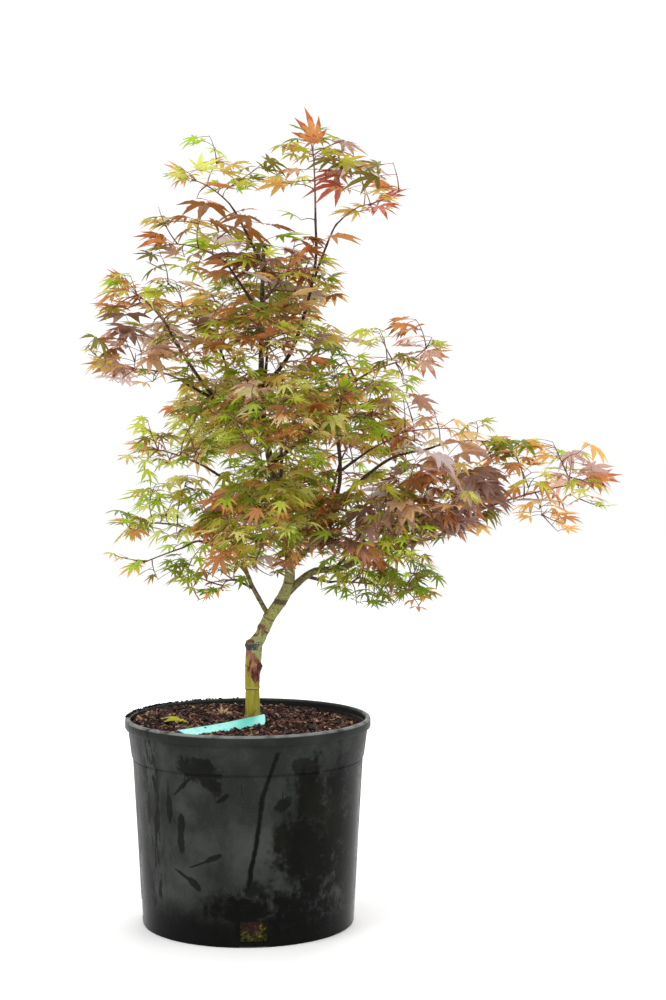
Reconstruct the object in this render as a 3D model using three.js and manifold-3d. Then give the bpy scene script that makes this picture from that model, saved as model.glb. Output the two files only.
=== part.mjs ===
// Young japanese maple, grafted, growing in a black nursery pot.
// Millimetres. The origin is the middle of the pot's flat underside: +X is the viewer's right,
// +Y the back and +Z up.
import * as THREE from 'three';
import { mergeVertices } from 'three/addons/utils/BufferGeometryUtils.js';
import Module from 'manifold-3d';

const wasm = await Module();
wasm.setup();

const clearance = 0.35; // left between two pieces that touch on the real plant

// The pot: an injection moulded 10 litre nursery pot.
const pot = {
  height: 235,
  rimRadius: 140,
  rimInside: 134.2,
  rimHeight: 11.5,
  bandRadius: 136.6, // just under the rim
  bandFoot: 132.6, // where the band ends in a shallow groove
  bandHeight: 33,
  wallTop: 131.4,
  baseRadius: 121,
  baseEdge: 2.5,
  wall: 2.4,
  floor: 3,
  sides: 32,
  holeCount: 4,
  holeTurn: -85, // degrees: where the front drain hole sits
  holeWidth: 29,
  holeFoot: 6,
  holeTop: 29,
};

// Bark mulch that fills the pot. It lies a little higher on the left.
const soil = {
  level: 229.3,
  edgeDrop: 3,
  slope: 0.034,
  flatRadius: 20, // level patch round the foot of the trunk
  rings: [60, 100, 124],
};

// Bare plant label: a thin strip that lies from the foot of the trunk to the front left.
const label = {
  length: 122,
  width: 20,
  thickness: 1.2,
  nearEnd: [20, -20],
  turn: 44, // degrees from the front towards the left
  tilt: 20, // degrees about its own length
  corner: 3,
};

// The trunk, station by station: height, x, y and radius. It is straight to the graft union,
// leans hard to the right up to its first fork and then swings back over the pot.
const trunk = {
  sides: 10,
  rungs: 24,
  stations: [
    [229.7, 5.6, 0, 10.6],
    [238, 5.4, 0, 8.6],
    [268, 4.7, 0.5, 8.4],
    [290, 5.3, 1.5, 8.6],
    [302, 6.1, 2.5, 9.6],
    [322, 12.4, 3.5, 8.6],
    [348, 25, 1, 7.4],
    [374, 41.5, -3, 7],
    [400, 48, -5, 5.8],
    [456, 42.4, 0, 5],
    [527, 25.4, 4, 4.2],
    [588, 16.5, 8, 3.6],
    [650, 15.6, 7, 3.1],
    [708, 16.7, 3, 2.6],
    [770, 19, 0, 2],
  ],
};

// Boughs. Each leaves its carrier at a height on the trunk, or at a part of another bough's
// length, passes its bend points and ends where it enters its mass of leaves.
const boughSides = 5;
const boughRungs = 4;
const boughTaper = 0.52; // tip radius as a part of the foot's
const boughs = [
  { name: 'low_right', on: 'trunk', at: 371, radius: 4.4, bends: [[73, -8, 400], [118, -16, 410]] },
  { name: 'low_left', on: 'trunk', at: 348, radius: 2.9, bends: [[6, -3, 382], [-8, -8, 408]] },
  { name: 'right_rising', on: 'trunk', at: 404, radius: 3.4, bends: [[84, -8, 448], [104, -10, 500]] },
  { name: 'leader', on: 'trunk', at: 606, radius: 2.5, bends: [[52, 5, 656], [76, 0, 742]] },
  { name: 'leader_side', on: 'leader', at: 0.62, radius: 1.7, bends: [[96, -10, 784]] },
  { name: 'top_left', on: 'trunk', at: 746, radius: 1.9, bends: [[-8, 4, 798]] },
  { name: 'upper_left', on: 'trunk', at: 690, radius: 2.1, bends: [[-18, -8, 742]] },
  { name: 'left_tip', on: 'trunk', at: 545, radius: 2.8, bends: [[-36, -18, 598], [-76, -24, 655]] },
  { name: 'left_upper', on: 'left_tip', at: 0.42, radius: 2.2, bends: [[-64, -42, 612]] },
  { name: 'left_back', on: 'trunk', at: 566, radius: 2.4, bends: [[-16, 26, 616]] },
  { name: 'right_upper', on: 'trunk', at: 522, radius: 2.5, bends: [[72, 12, 560], [112, 6, 606]] },
  { name: 'right_mid', on: 'right_rising', at: 0.5, radius: 2.3, bends: [[158, 12, 526], [206, 8, 540]] },
  { name: 'right_inner', on: 'right_rising', at: 0.72, radius: 1.9, bends: [[134, -12, 536]] },
  { name: 'left_middle', on: 'trunk', at: 438, radius: 2.6, bends: [[-2, 6, 488]] },
  { name: 'left_low', on: 'low_left', at: 0.56, radius: 2, bends: [[-50, -22, 436]] },
  { name: 'under_left', on: 'low_left', at: 0.28, radius: 1.8, bends: [] },
  { name: 'front_middle', on: 'trunk', at: 484, radius: 2.5, bends: [[40, -48, 524]] },
  { name: 'front_low', on: 'trunk', at: 424, radius: 2.4, bends: [[38, -44, 436]] },
  { name: 'right_low', on: 'low_right', at: 0.4, radius: 2.2, bends: [] },
  { name: 'right_far', on: 'low_right', at: 0.8, radius: 2.2, bends: [[210, 6, 438], [262, 10, 468]] },
  { name: 'right_under', on: 'low_right', at: 0.2, radius: 2.3, bends: [[92, 8, 388]] },
  { name: 'back_upper', on: 'trunk', at: 588, radius: 2.4, bends: [[20, 50, 640]] },
  { name: 'back_middle', on: 'trunk', at: 468, radius: 2.6, bends: [[16, 50, 516]] },
  { name: 'back_right', on: 'right_rising', at: 0.36, radius: 2.4, bends: [[96, 44, 490]] },
  { name: 'back_low', on: 'trunk', at: 414, radius: 2.5, bends: [[44, 50, 432]] },
];

// Masses of leaves. Each is an egg-shaped space: name, centre, radii, the point its longest shoot
// makes for, the length of a leaf from its heart to its tip, and a tint. Those with a height too
// stand on the trunk there, and the others on the bough of the same name.
const tints = {
  lime: 0x98a838,
  olive: 0x747a2c,
  rust: 0xa0603a,
  rose: 0xb4806a,
  plum: 0x7c5250,
  crimson: 0xa04a44,
};
const masses = [
  ['leader', [78, -5, 852], [56, 54, 72], [72, -6, 930], 50, 'rust'],
  ['leader_side', [128, -18, 826], [60, 54, 54], [190, -20, 836], 50, 'crimson'],
  ['top_left', [-38, 10, 846], [64, 54, 52], [-100, 12, 868], 56, 'olive'],
  ['upper_left', [-52, -12, 780], [76, 62, 50], [-124, -14, 784], 58, 'rust'],
  ['core_top', [44, -6, 736], [74, 66, 56], [76, -56, 772], 50, 'rust', 706],
  ['left_tip', [-108, -12, 712], [70, 62, 54], [-160, -14, 748], 60, 'rust'],
  ['left_upper', [-104, -44, 640], [82, 68, 46], [-184, -46, 642], 58, 'plum'],
  ['left_back', [-50, 66, 690], [70, 68, 56], [-90, 110, 720], 58, 'rust'],
  ['core_upper', [20, -30, 664], [70, 74, 50], [30, -100, 676], 58, 'rust', 640],
  ['right_upper', [156, 0, 648], [82, 68, 54], [236, -6, 656], 60, 'rose'],
  ['right_rising', [102, -36, 596], [62, 70, 54], [112, -90, 630], 54, 'lime'],
  ['core_middle', [4, -30, 586], [70, 74, 52], [-30, -96, 600], 56, 'olive', 560],
  ['right_inner', [178, -8, 562], [66, 66, 54], [214, -60, 580], 56, 'rose'],
  ['right_mid', [248, 6, 558], [64, 56, 46], [312, 6, 552], 54, 'olive'],
  ['left_middle', [-78, 8, 540], [68, 66, 50], [-142, 8, 552], 56, 'lime'],
  ['core_low', [38, -16, 500], [68, 70, 52], [70, -70, 520], 54, 'lime', 474],
  ['low_left', [-84, -38, 470], [72, 66, 48], [-156, -40, 462], 56, 'lime'],
  ['left_low', [-104, 4, 418], [56, 54, 42], [-156, 4, 396], 48, 'lime'],
  ['under_left', [-34, -24, 404], [52, 52, 42], [-50, -66, 376], 42, 'lime'],
  ['front_middle', [40, -112, 566], [74, 60, 56], [40, -172, 560], 58, 'rust'],
  ['front_low', [22, -104, 456], [74, 62, 54], [10, -164, 440], 58, 'olive'],
  ['right_low', [136, -84, 460], [64, 62, 50], [136, -150, 440], 54, 'olive'],
  ['low_right', [216, -52, 484], [74, 62, 54], [280, -76, 490], 60, 'plum'],
  ['right_far', [344, 6, 500], [88, 58, 58], [432, 8, 512], 58, 'rust'],
  ['right_under', [148, -4, 392], [82, 60, 44], [230, -10, 374], 54, 'lime'],
  ['back_upper', [22, 98, 710], [72, 64, 60], [20, 160, 722], 54, 'rust'],
  ['back_middle', [-34, 112, 578], [74, 66, 58], [-50, 176, 580], 58, 'olive'],
  ['back_right', [112, 100, 548], [78, 66, 66], [130, 164, 560], 58, 'rust'],
  ['back_low', [30, 108, 458], [80, 66, 54], [20, 172, 446], 56, 'lime'],
].map(([name, centre, radii, tip, leaf, tint, at]) => ({ name, centre, radii, tip, leaf, tint, at }));

// How each mass grows.
const growth = {
  reachIn: 0.62, // a bough ends at this part of the way out from its mass's centre
  leaves: 10, // wanted on a mass, and the least that it is not grown again for
  enough: 9,
  attempts: 4,
  twigs: 2, // side twigs of a mass
  twigTries: 40,
  stemFoot: 2.4, // stem radius where it stands on the trunk
  reach: 0.985, // part of the way to the edge of its space that the longest shoot reaches
  nodes: [0.4, 0.6, 0.8], // parts of a twig's length where side twigs may start
  pairParts: [0.9, 0.7, 0.5, 0.3, 0.8, 0.6], // and where leaves may
  fill: 0.74, // side twigs make for points in this part of the space
  shortest: 16,
  outward: 0.4, // how far a twig's leaves turn from its own way to the way out of the mass
  lastPair: 0.97, // where on a twig its last pair stands
  twigFoot: 1.3,
  twigTip: 1.2,
  pairGap: 2.6, // between the leaves of a pair, along their twig
  leafTries: 26,
  leafChoice: 4, // places that fit, out of which the roomiest is taken
  leafSpread: 54, // degrees between a leaf and its twig
  wander: 7, // degrees more that a leaf may turn with each try, and the part it shrinks by
  shrink: 0.012,
  pitch: [-50, 36], // degrees that a leaf may point down or up
  roll: 35, // degrees that it may turn about its own length
  overlap: 3, // the stem runs this far along the stalk of its last leaf
  rootShare: 1.5, // cubic millimetres that a leaf's root may share with its twig
};

// A leaf: a flat bipyramid whose rim is drawn out into five lobes and a stalk.
const leafShape = {
  rim: [[0, 1], [21, 0.42], [45, 0.88], [68, 0.38], [102, 0.62], [150, 0.12]], // degrees, part of the length
  stalk: 0.3,
  sunk: 0.4, // the stalk's end goes this far past the middle of its twig
  heart: 0.1, // where the thickest point lies
  middle: 0.4, // and the middle of the leaf
  thickness: 2.6,
  sag: 0.2, // how far the lobes' tips hang, as a part of the length
};

const up = new THREE.Vector3(0, 0, 1);
const point = (values) => new THREE.Vector3(...values);
const radians = THREE.MathUtils.degToRad;

// Draws from low to high, the same on each run.
function seededDraws(seed) {
  let state = Math.imul(seed + 11, 40503) >>> 0;
  const draw = (low = 0, high = 1) => {
    state = (Math.imul(state, 1664525) + 1013904223) >>> 0;
    return low + (high - low) * (state / 4294967296);
  };
  draw();
  draw();
  return draw;
}

// Points spread evenly through a ball of radius 1.
function* evenPoints(seed) {
  const ratio = 1.2207440846;
  const draw = seededDraws(seed);
  const shift = [draw(), draw(), draw()];
  for (let n = 1; ; n += 1) {
    const spot = point(shift.map((from, axis) => 2 * ((from + n / ratio ** (axis + 1)) % 1) - 1));
    if (spot.length() < 1) yield spot;
  }
}

// A closed manifold-3d solid from a three.js geometry.
function solidOf(geometry) {
  const bare = geometry.clone();
  bare.deleteAttribute('normal');
  bare.deleteAttribute('uv');
  const merged = mergeVertices(bare, 1e-4);
  const corners = merged.attributes.position;
  const faces = [];
  let volume = 0;
  const [a, b, c] = [new THREE.Vector3(), new THREE.Vector3(), new THREE.Vector3()];
  for (let n = 0; n < merged.index.count; n += 3) {
    const [i, j, k] = [0, 1, 2].map((step) => merged.index.getX(n + step));
    if (i === j || j === k || k === i) continue;
    faces.push(i, j, k);
    a.fromBufferAttribute(corners, i);
    b.fromBufferAttribute(corners, j);
    c.fromBufferAttribute(corners, k);
    volume += a.dot(b.cross(c));
  }
  if (volume < 0) faces.reverse();
  return new wasm.Manifold(new wasm.Mesh({
    numProp: 3,
    vertProperties: new Float32Array(corners.array),
    triVerts: new Uint32Array(faces),
  }));
}

// The largest closed body of a solid: loose scraps and sealed hollows go.
function largest(solid) {
  return solid.decompose().reduce((best, body) => (body.volume() > best.volume() ? body : best));
}

function geometryOf(solid) {
  const mesh = largest(solid.simplify(0.05)).getMesh();
  const geometry = new THREE.BufferGeometry();
  geometry.setAttribute('position', new THREE.BufferAttribute(mesh.vertProperties, 3));
  geometry.setIndex(new THREE.BufferAttribute(mesh.triVerts, 1));
  geometry.computeVertexNormals();
  return geometry;
}

// Revolves a profile of [radius, height] pairs about the Z axis.
function revolve(profile, sides) {
  const geometry = new THREE.LatheGeometry(profile.map(([r, z]) => new THREE.Vector2(r, z)), sides);
  return geometry.rotateX(Math.PI / 2);
}

// A tapering limb: a cylinder bent along a curve, grown by a margin where it is used as a cutter.
function limb(curve, radiusAt, sides, rungs, margin = 0) {
  const geometry = new THREE.CylinderGeometry(1, 1, 1, sides, rungs);
  const frames = curve.computeFrenetFrames(rungs, false);
  const corners = geometry.attributes.position;
  for (let n = 0; n < corners.count; n += 1) {
    const rung = Math.round((0.5 - corners.getY(n)) * rungs);
    const part = rung / rungs;
    const radius = radiusAt(part) + margin;
    const end = rung === rungs ? margin : 0;
    const place = curve.getPointAt(part)
      .addScaledVector(frames.normals[rung], corners.getX(n) * radius)
      .addScaledVector(frames.binormals[rung], corners.getZ(n) * radius)
      .addScaledVector(frames.tangents[rung], end);
    corners.setXYZ(n, place.x, place.y, place.z);
  }
  return geometry;
}

function makePot() {
  const bandBase = pot.height - pot.rimHeight - pot.bandHeight;
  const rimBase = pot.height - pot.rimHeight;
  const profile = [
    [0, 0],
    [pot.baseRadius - pot.baseEdge, 0],
    [pot.baseRadius, pot.baseEdge],
    [pot.wallTop, bandBase - 1.5],
    [pot.bandFoot, bandBase],
    [pot.bandRadius, rimBase - 1.5],
    [pot.rimRadius - 0.6, rimBase],
    [pot.rimRadius, rimBase + 3],
    [pot.rimRadius, pot.height - 3],
    [pot.rimRadius - 2, pot.height - 0.4],
    [pot.rimInside + 1, pot.height],
    [pot.rimInside, pot.height - 1.5],
    [pot.rimInside - 0.6, rimBase],
    [pot.wallTop - pot.wall, bandBase],
    [pot.baseRadius - pot.wall, pot.floor],
    [0, pot.floor],
  ];
  let solid = solidOf(revolve(profile, pot.sides));
  const holeHeight = pot.holeTop - pot.holeFoot;
  const cutter = new THREE.BoxGeometry(16, pot.holeWidth, holeHeight);
  cutter.translate(pot.baseRadius, 0, pot.holeFoot + holeHeight / 2);
  for (let n = 0; n < pot.holeCount; n += 1) {
    const turn = radians(pot.holeTurn + (n * 360) / pot.holeCount);
    solid = solid.subtract(solidOf(cutter.clone().rotateZ(turn)));
  }
  return geometryOf(solid);
}

// The inside of the pot at a height, less the clearance.
function soilRadius(z) {
  const bandBase = pot.height - pot.rimHeight - pot.bandHeight;
  const rimBase = pot.height - pot.rimHeight;
  const [low, high] = z < bandBase
    ? [[pot.baseRadius - pot.wall, pot.floor], [pot.wallTop - pot.wall, bandBase]]
    : [[pot.wallTop - pot.wall, bandBase], [pot.rimInside - 0.6, rimBase]];
  const part = (z - low[1]) / (high[1] - low[1]);
  return low[0] + part * (high[0] - low[0]) - 2 * clearance;
}

const soilHeight = (x, y) => {
  const out = Math.hypot(x, y);
  const edge = Math.max(0, out - soil.flatRadius) / (pot.rimInside - soil.flatRadius);
  return soil.level - soil.slope * x * Math.min(1, edge * 2) - soil.edgeDrop * edge * edge;
};

function makeSoil() {
  const foot = pot.floor + clearance;
  const bandBase = pot.height - pot.rimHeight - pot.bandHeight;
  const shoulder = soil.level - soil.edgeDrop;
  const rings = [...soil.rings].reverse().map((radius) => [radius, soil.level]);
  const profile = [
    [0, foot],
    [soilRadius(foot), foot],
    [soilRadius(bandBase), bandBase],
    [soilRadius(shoulder) - 0.6, shoulder],
    ...rings,
    [soil.flatRadius, soil.level],
    [0, soil.level],
  ];
  const geometry = revolve(profile, pot.sides);
  const corners = geometry.attributes.position;
  for (let n = 0; n < corners.count; n += 1) {
    const [x, y, z] = [corners.getX(n), corners.getY(n), corners.getZ(n)];
    if (z >= shoulder - 0.01) corners.setZ(n, soilHeight(x, y));
  }
  return geometryOf(solidOf(geometry));
}

function makeLabel() {
  const outline = new THREE.Shape();
  const [long, half, round] = [label.length, label.width / 2, label.corner];
  outline.moveTo(0, -half);
  outline.lineTo(long - round, -half);
  outline.lineTo(long, round - half);
  outline.lineTo(long, half - round);
  outline.lineTo(long - round, half);
  outline.lineTo(0, half);
  outline.closePath();
  const strip = new THREE.ExtrudeGeometry(outline, { depth: label.thickness, bevelEnabled: false });
  return geometryOf(solidOf(strip));
}

// The label rests with its lower long edge on the highest mulch under it.
function placeLabel(strip) {
  const turn = radians(270 - label.turn);
  const steps = [0, 0.25, 0.5, 0.75, 1];
  const under = steps.map((part) => soilHeight(
    label.nearEnd[0] + part * label.length * Math.cos(turn),
    label.nearEnd[1] + part * label.length * Math.sin(turn)));
  const rest = Math.max(...under) + clearance + (label.width / 2) * Math.sin(radians(label.tilt));
  strip.rotation.set(-radians(label.tilt), 0, turn, 'ZYX');
  strip.position.set(...label.nearEnd, rest);
}

// The trunk's curve runs through its stations at even steps of its parameter.
const trunkCurve = new THREE.CatmullRomCurve3(
  trunk.stations.map(([z, x, y]) => new THREE.Vector3(x, y, z)), false, 'catmullrom', 0.5);

function trunkRadius(height) {
  const rows = trunk.stations;
  const next = Math.max(1, rows.findIndex((row) => row[0] >= height));
  const [low, high] = [rows[next - 1], rows[next]];
  return THREE.MathUtils.lerp(low[3], high[3], (height - low[0]) / (high[0] - low[0]));
}

// The point of the trunk's middle line at a height.
function trunkPoint(height) {
  let [low, high] = [0, 1];
  for (let n = 0; n < 40; n += 1) {
    const middle = (low + high) / 2;
    if (trunkCurve.getPointAt(middle).z < height) low = middle;
    else high = middle;
  }
  return trunkCurve.getPointAt(low);
}

const trunkRadiusAt = (part) => trunkRadius(Math.min(trunkCurve.getPointAt(part).z, 769.9));

function makeTrunk() {
  const foot = trunk.stations[0][0];
  const geometry = limb(trunkCurve, trunkRadiusAt, trunk.sides, trunk.rungs);
  const corners = geometry.attributes.position;
  for (let n = 0; n < corners.count; n += 1) {
    const onFoot = corners.getZ(n) < foot + 2;
    if (onFoot) corners.setZ(n, foot);
  }
  return solidOf(geometry);
}

// The radius of a mass's space along a direction from its centre.
function spaceRadius(mass, direction) {
  const [rx, ry, rz] = mass.radii;
  return 1 / Math.hypot(direction.x / rx, direction.y / ry, direction.z / rz);
}

// A mass's own space: inside its egg, and on its own side of a wall towards each neighbour.
function makeSpace(mass) {
  const centre = point(mass.centre);
  const walls = masses.filter((other) => other !== mass).map((other) => {
    const way = point(other.centre).sub(centre);
    const near = mass.radii.map((radius, axis) => radius + other.radii[axis]);
    const meet = near.every((limit, axis) => Math.abs(way.getComponent(axis)) < limit);
    const gap = way.length();
    way.normalize();
    const [own, theirs] = [spaceRadius(mass, way), spaceRadius(other, way)];
    return { way, meet, distance: (gap * own) / (own + theirs) - clearance };
  }).filter((wall) => wall.meet);
  return (spot) => {
    const out = spot.clone().sub(centre);
    if (out.length() > spaceRadius(mass, out.clone().normalize())) return false;
    return walls.every((wall) => out.dot(wall.way) < wall.distance);
  };
}

// Boughs, each cut clear of what carries it.
const limbs = { trunk: { solid: makeTrunk(), curve: trunkCurve, radiusAt: trunkRadiusAt } };
limbs.trunk.grown = solidOf(limb(trunkCurve, trunkRadiusAt, trunk.sides, trunk.rungs, clearance + 0.1));

function makeBough(bough) {
  const carrier = limbs[bough.on];
  const mass = masses.find((candidate) => candidate.name === bough.name);
  const foot = bough.on === 'trunk' ? trunkPoint(bough.at) : carrier.curve.getPointAt(bough.at);
  const route = [foot, ...bough.bends.map(point)];
  const centre = point(mass.centre);
  const back = route[route.length - 1].clone().sub(centre).normalize();
  route.push(centre.addScaledVector(back, growth.reachIn * spaceRadius(mass, back)));
  const curve = new THREE.CatmullRomCurve3(route, false, 'catmullrom', 0.5);
  const radiusAt = (part) => bough.radius * (1 - (1 - boughTaper) * part);
  const whole = solidOf(limb(curve, radiusAt, boughSides, boughRungs));
  const grown = solidOf(limb(curve, radiusAt, boughSides, boughRungs, clearance + 0.05));
  return { solid: whole.subtract(carrier.grown), curve, radiusAt, grown };
}
for (const bough of boughs) limbs[bough.name] = makeBough(bough);

// One leaf, from its root on a twig, pointing out and rolled about its own length.
const sphere = new THREE.SphereGeometry(1, 12, 2).deleteAttribute('normal').deleteAttribute('uv');
const leafBase = mergeVertices(sphere);

function leafCorner(step, length) {
  const { rim, stalk, sunk, sag } = leafShape;
  if (step === 6) return [-length * stalk - sunk, 0, 0];
  const side = step > 6 ? -1 : 1;
  const [angle, part] = rim[step > 6 ? 12 - step : step];
  const out = part * length;
  const turn = radians(angle);
  return [out * Math.cos(turn), side * out * Math.sin(turn), -sag * length * part * part];
}

function placeLeaf(root, out, roll, length) {
  const geometry = leafBase.clone();
  const corners = geometry.attributes.position;
  const half = leafShape.thickness / 2;
  for (let n = 0; n < corners.count; n += 1) {
    const [x, y, z] = [corners.getX(n), corners.getY(n), corners.getZ(n)];
    const step = Math.round((Math.atan2(z, x) / Math.PI) * 6 + 12) % 12;
    const pole = Math.abs(y) > 0.5;
    const place = pole ? [leafShape.heart * length, 0, Math.sign(y) * half] : leafCorner(step, length);
    corners.setXYZ(n, ...place);
  }
  const side = new THREE.Vector3(0, 0, 1).cross(out).normalize();
  const normal = out.clone().cross(side).normalize();
  side.applyAxisAngle(out, roll);
  normal.applyAxisAngle(out, roll);
  const heart = root.clone().addScaledVector(out, length * leafShape.stalk);
  geometry.applyMatrix4(new THREE.Matrix4().makeBasis(out, side, normal).setPosition(heart));
  return geometry;
}

// The limbs that pass through or near a mass's space, as one cutter.
function limbsNear(mass) {
  const near = Object.values(limbs).filter(({ grown }) => {
    const { min, max } = grown.boundingBox();
    return mass.centre.every((middle, axis) => (
      min[axis] < middle + mass.radii[axis] && max[axis] > middle - mass.radii[axis]));
  });
  return wasm.Manifold.union(near.map(({ grown }) => grown));
}

const meets = (solid, other) => solid.intersect(other).volume() > 0;
const twigRadius = (part) => THREE.MathUtils.lerp(growth.twigFoot, growth.twigTip, part);

// Grows a mass: one stem, a few side twigs that branch from it or from each other, and leaves in
// pairs along them. What would leave the space, or touch a limb or another leaf, is skipped.
function growMass(mass, seed) {
  const draw = seededDraws(seed);
  const inside = makeSpace(mass);
  const keepOut = limbsNear(mass);
  const centre = point(mass.centre);
  const carrier = mass.at ? limbs.trunk : limbs[mass.name];
  const foot = mass.at ? trunkPoint(mass.at) : carrier.curve.getPointAt(0.99);
  const footRadius = mass.at ? growth.stemFoot : carrier.radiusAt(1);
  const ahead = point(mass.tip).sub(centre).normalize();
  const tip = centre.clone().addScaledVector(ahead, growth.reach * spaceRadius(mass, ahead));
  const heading = tip.clone().sub(foot).normalize();
  const root = tip.clone().addScaledVector(heading, -mass.leaf * (1 + leafShape.stalk));
  const end = root.clone().addScaledVector(heading, growth.overlap);
  const bend = centre.clone().lerp(foot.clone().lerp(end, 0.5), 0.5);
  const arc = new THREE.QuadraticBezierCurve3(foot, bend, end);
  const stemRadius = (part) => THREE.MathUtils.lerp(footRadius, growth.twigTip, part);
  let wood = largest(solidOf(limb(arc, stemRadius, 3, 2)).subtract(keepOut));
  let foliage = solidOf(placeLeaf(root, heading, 0, mass.leaf));
  const leafMiddle = leafShape.stalk + leafShape.middle;
  const hearts = [root.clone().addScaledVector(heading, mass.leaf * leafMiddle)];

  // The stem is made of two straight halves, and its twigs and leaves stand on these.
  const stem = new THREE.CurvePath();
  stem.add(new THREE.LineCurve3(foot, arc.getPointAt(0.5)));
  stem.add(new THREE.LineCurve3(arc.getPointAt(0.5), end));

  const fits = (geometry) => {
    const corners = geometry.attributes.position;
    const spot = new THREE.Vector3();
    for (let n = 0; n < corners.count; n += 1) {
      if (!inside(spot.fromBufferAttribute(corners, n))) return null;
    }
    const solid = solidOf(geometry);
    return meets(solid, keepOut) || meets(solid, foliage) ? null : solid;
  };

  // Of the places that fit, a leaf takes the one furthest from the leaves already there.
  const addLeaf = (branch, root, way) => {
    let best = { room: 0 };
    for (let n = 0, found = 0; n < growth.leafTries && found < growth.leafChoice; n += 1) {
      const wander = radians(growth.wander * (n + 1));
      const out = way.clone().applyAxisAngle(up, draw(-wander, wander));
      out.z = Math.sin(radians(draw(...growth.pitch)));
      const length = mass.leaf * draw(0.9, 1.06) * (1 - growth.shrink * n);
      const roll = radians(draw(-growth.roll, growth.roll));
      const leaf = fits(placeLeaf(root, out.normalize(), roll, length));
      const share = leaf ? leaf.intersect(branch).volume() : 0;
      if (share === 0 || share > growth.rootShare) continue;
      found += 1;
      const heart = root.clone().addScaledVector(out, length * leafMiddle);
      const room = Math.min(...hearts.map((other) => other.distanceTo(heart)));
      if (room > best.room) best = { room, leaf, heart };
    }
    if (!best.leaf) return;
    foliage = foliage.add(best.leaf);
    hearts.push(best.heart);
  };

  // The two leaves of a pair stand on either side of their twig, a little apart along it.
  const addPair = (branch, curve, part, way) => {
    const gap = growth.pairGap / curve.getLength();
    const spread = radians(growth.leafSpread);
    addLeaf(branch, curve.getPointAt(part), way.clone().applyAxisAngle(up, spread));
    addLeaf(branch, curve.getPointAt(part - gap), way.clone().applyAxisAngle(up, -spread));
  };

  const branches = [{ curve: stem, way: heading }];
  const targets = evenPoints(seed);
  for (let tries = 0; branches.length <= growth.twigs && tries < growth.twigTries; tries += 1) {
    const spot = targets.next().value.multiplyScalar(growth.fill);
    const target = spot.multiply(point(mass.radii)).add(centre);
    const feet = branches.flatMap(({ curve }) => growth.nodes.map((part) => curve.getPointAt(part)));
    const reach = feet.map((place) => place.distanceTo(target));
    const from = feet[reach.indexOf(Math.min(...reach))];
    const way = target.clone().sub(from);
    if (way.length() < growth.shortest) continue;
    const curve = new THREE.LineCurve3(from, target);
    const twig = fits(limb(curve, twigRadius, 3, 1));
    if (!twig || !meets(twig, wood)) continue;
    const outward = target.clone().sub(centre).setZ(0).normalize();
    way.setZ(0).normalize().lerp(outward, growth.outward).normalize();
    const before = hearts.length;
    addPair(twig, curve, growth.lastPair, way);
    if (hearts.length === before) continue;
    wood = wood.add(twig.simplify(0.001));
    branches.push({ curve, way });
  }
  for (const part of growth.pairParts) {
    for (const { curve, way } of branches) {
      if (hearts.length < growth.leaves) addPair(wood, curve, part, way);
    }
  }
  return { solid: wood.add(foliage), leaves: hearts.length };
}

// A mass that comes out thin is grown again from another seed, and the fullest is kept.
function fullestMass(mass, seed) {
  let best = { leaves: 0 };
  for (let n = 0; n < growth.attempts && best.leaves < growth.enough; n += 1) {
    const grown = growMass(mass, seed + 100 * n);
    if (grown.leaves > best.leaves) best = grown;
  }
  return best.solid;
}

const group = new THREE.Group();

function add(name, geometry, color, roughness) {
  const mesh = new THREE.Mesh(geometry, new THREE.MeshStandardMaterial({ color, roughness, metalness: 0 }));
  mesh.name = name;
  group.add(mesh);
  return mesh;
}

add('pot', makePot(), 0x26282a, 0.55);
add('soil', makeSoil(), 0x3a2219, 0.95);
placeLabel(add('plant_label', makeLabel(), 0x3fb8ac, 0.5));
add('trunk', geometryOf(limbs.trunk.solid), 0x7c7c48, 0.85);
for (const bough of boughs) add(`${bough.name}_bough`, geometryOf(limbs[bough.name].solid), 0x4a3b30, 0.8);
masses.forEach((mass, n) => {
  add(`${mass.name}_leaves`, geometryOf(fullestMass(mass, n + 1)), tints[mass.tint], 0.7);
});

export default group;
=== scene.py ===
import math

import bpy
import numpy as np
from mathutils import Matrix, Vector, noise


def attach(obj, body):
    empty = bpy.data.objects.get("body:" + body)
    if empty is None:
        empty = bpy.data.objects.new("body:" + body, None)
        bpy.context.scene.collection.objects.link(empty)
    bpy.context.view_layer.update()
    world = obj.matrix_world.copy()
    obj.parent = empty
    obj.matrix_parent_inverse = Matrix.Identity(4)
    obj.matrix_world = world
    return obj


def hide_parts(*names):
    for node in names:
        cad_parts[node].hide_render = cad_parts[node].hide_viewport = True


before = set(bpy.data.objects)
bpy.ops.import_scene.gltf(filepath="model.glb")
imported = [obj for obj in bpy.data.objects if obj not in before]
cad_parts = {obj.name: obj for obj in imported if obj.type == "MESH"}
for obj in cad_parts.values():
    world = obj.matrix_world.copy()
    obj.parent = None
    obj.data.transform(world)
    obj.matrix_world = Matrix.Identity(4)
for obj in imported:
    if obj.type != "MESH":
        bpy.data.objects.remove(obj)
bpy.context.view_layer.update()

mm = 0.001


def clearSelection():
    if bpy.context.mode != "OBJECT":
        bpy.ops.object.mode_set(mode="OBJECT")
    bpy.ops.object.select_all(action="DESELECT")


def makeActive(piece):
    clearSelection()
    piece.select_set(True)
    bpy.context.view_layer.objects.active = piece


def linear(code):
    # a colour as the eye names it, 0xRRGGBB, made linear
    parts = [((code >> shift) & 255) / 255 for shift in (16, 8, 0)]
    return tuple(p / 12.92 if p < 0.04045 else ((p + 0.055) / 1.055) ** 2.4 for p in parts)


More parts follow.
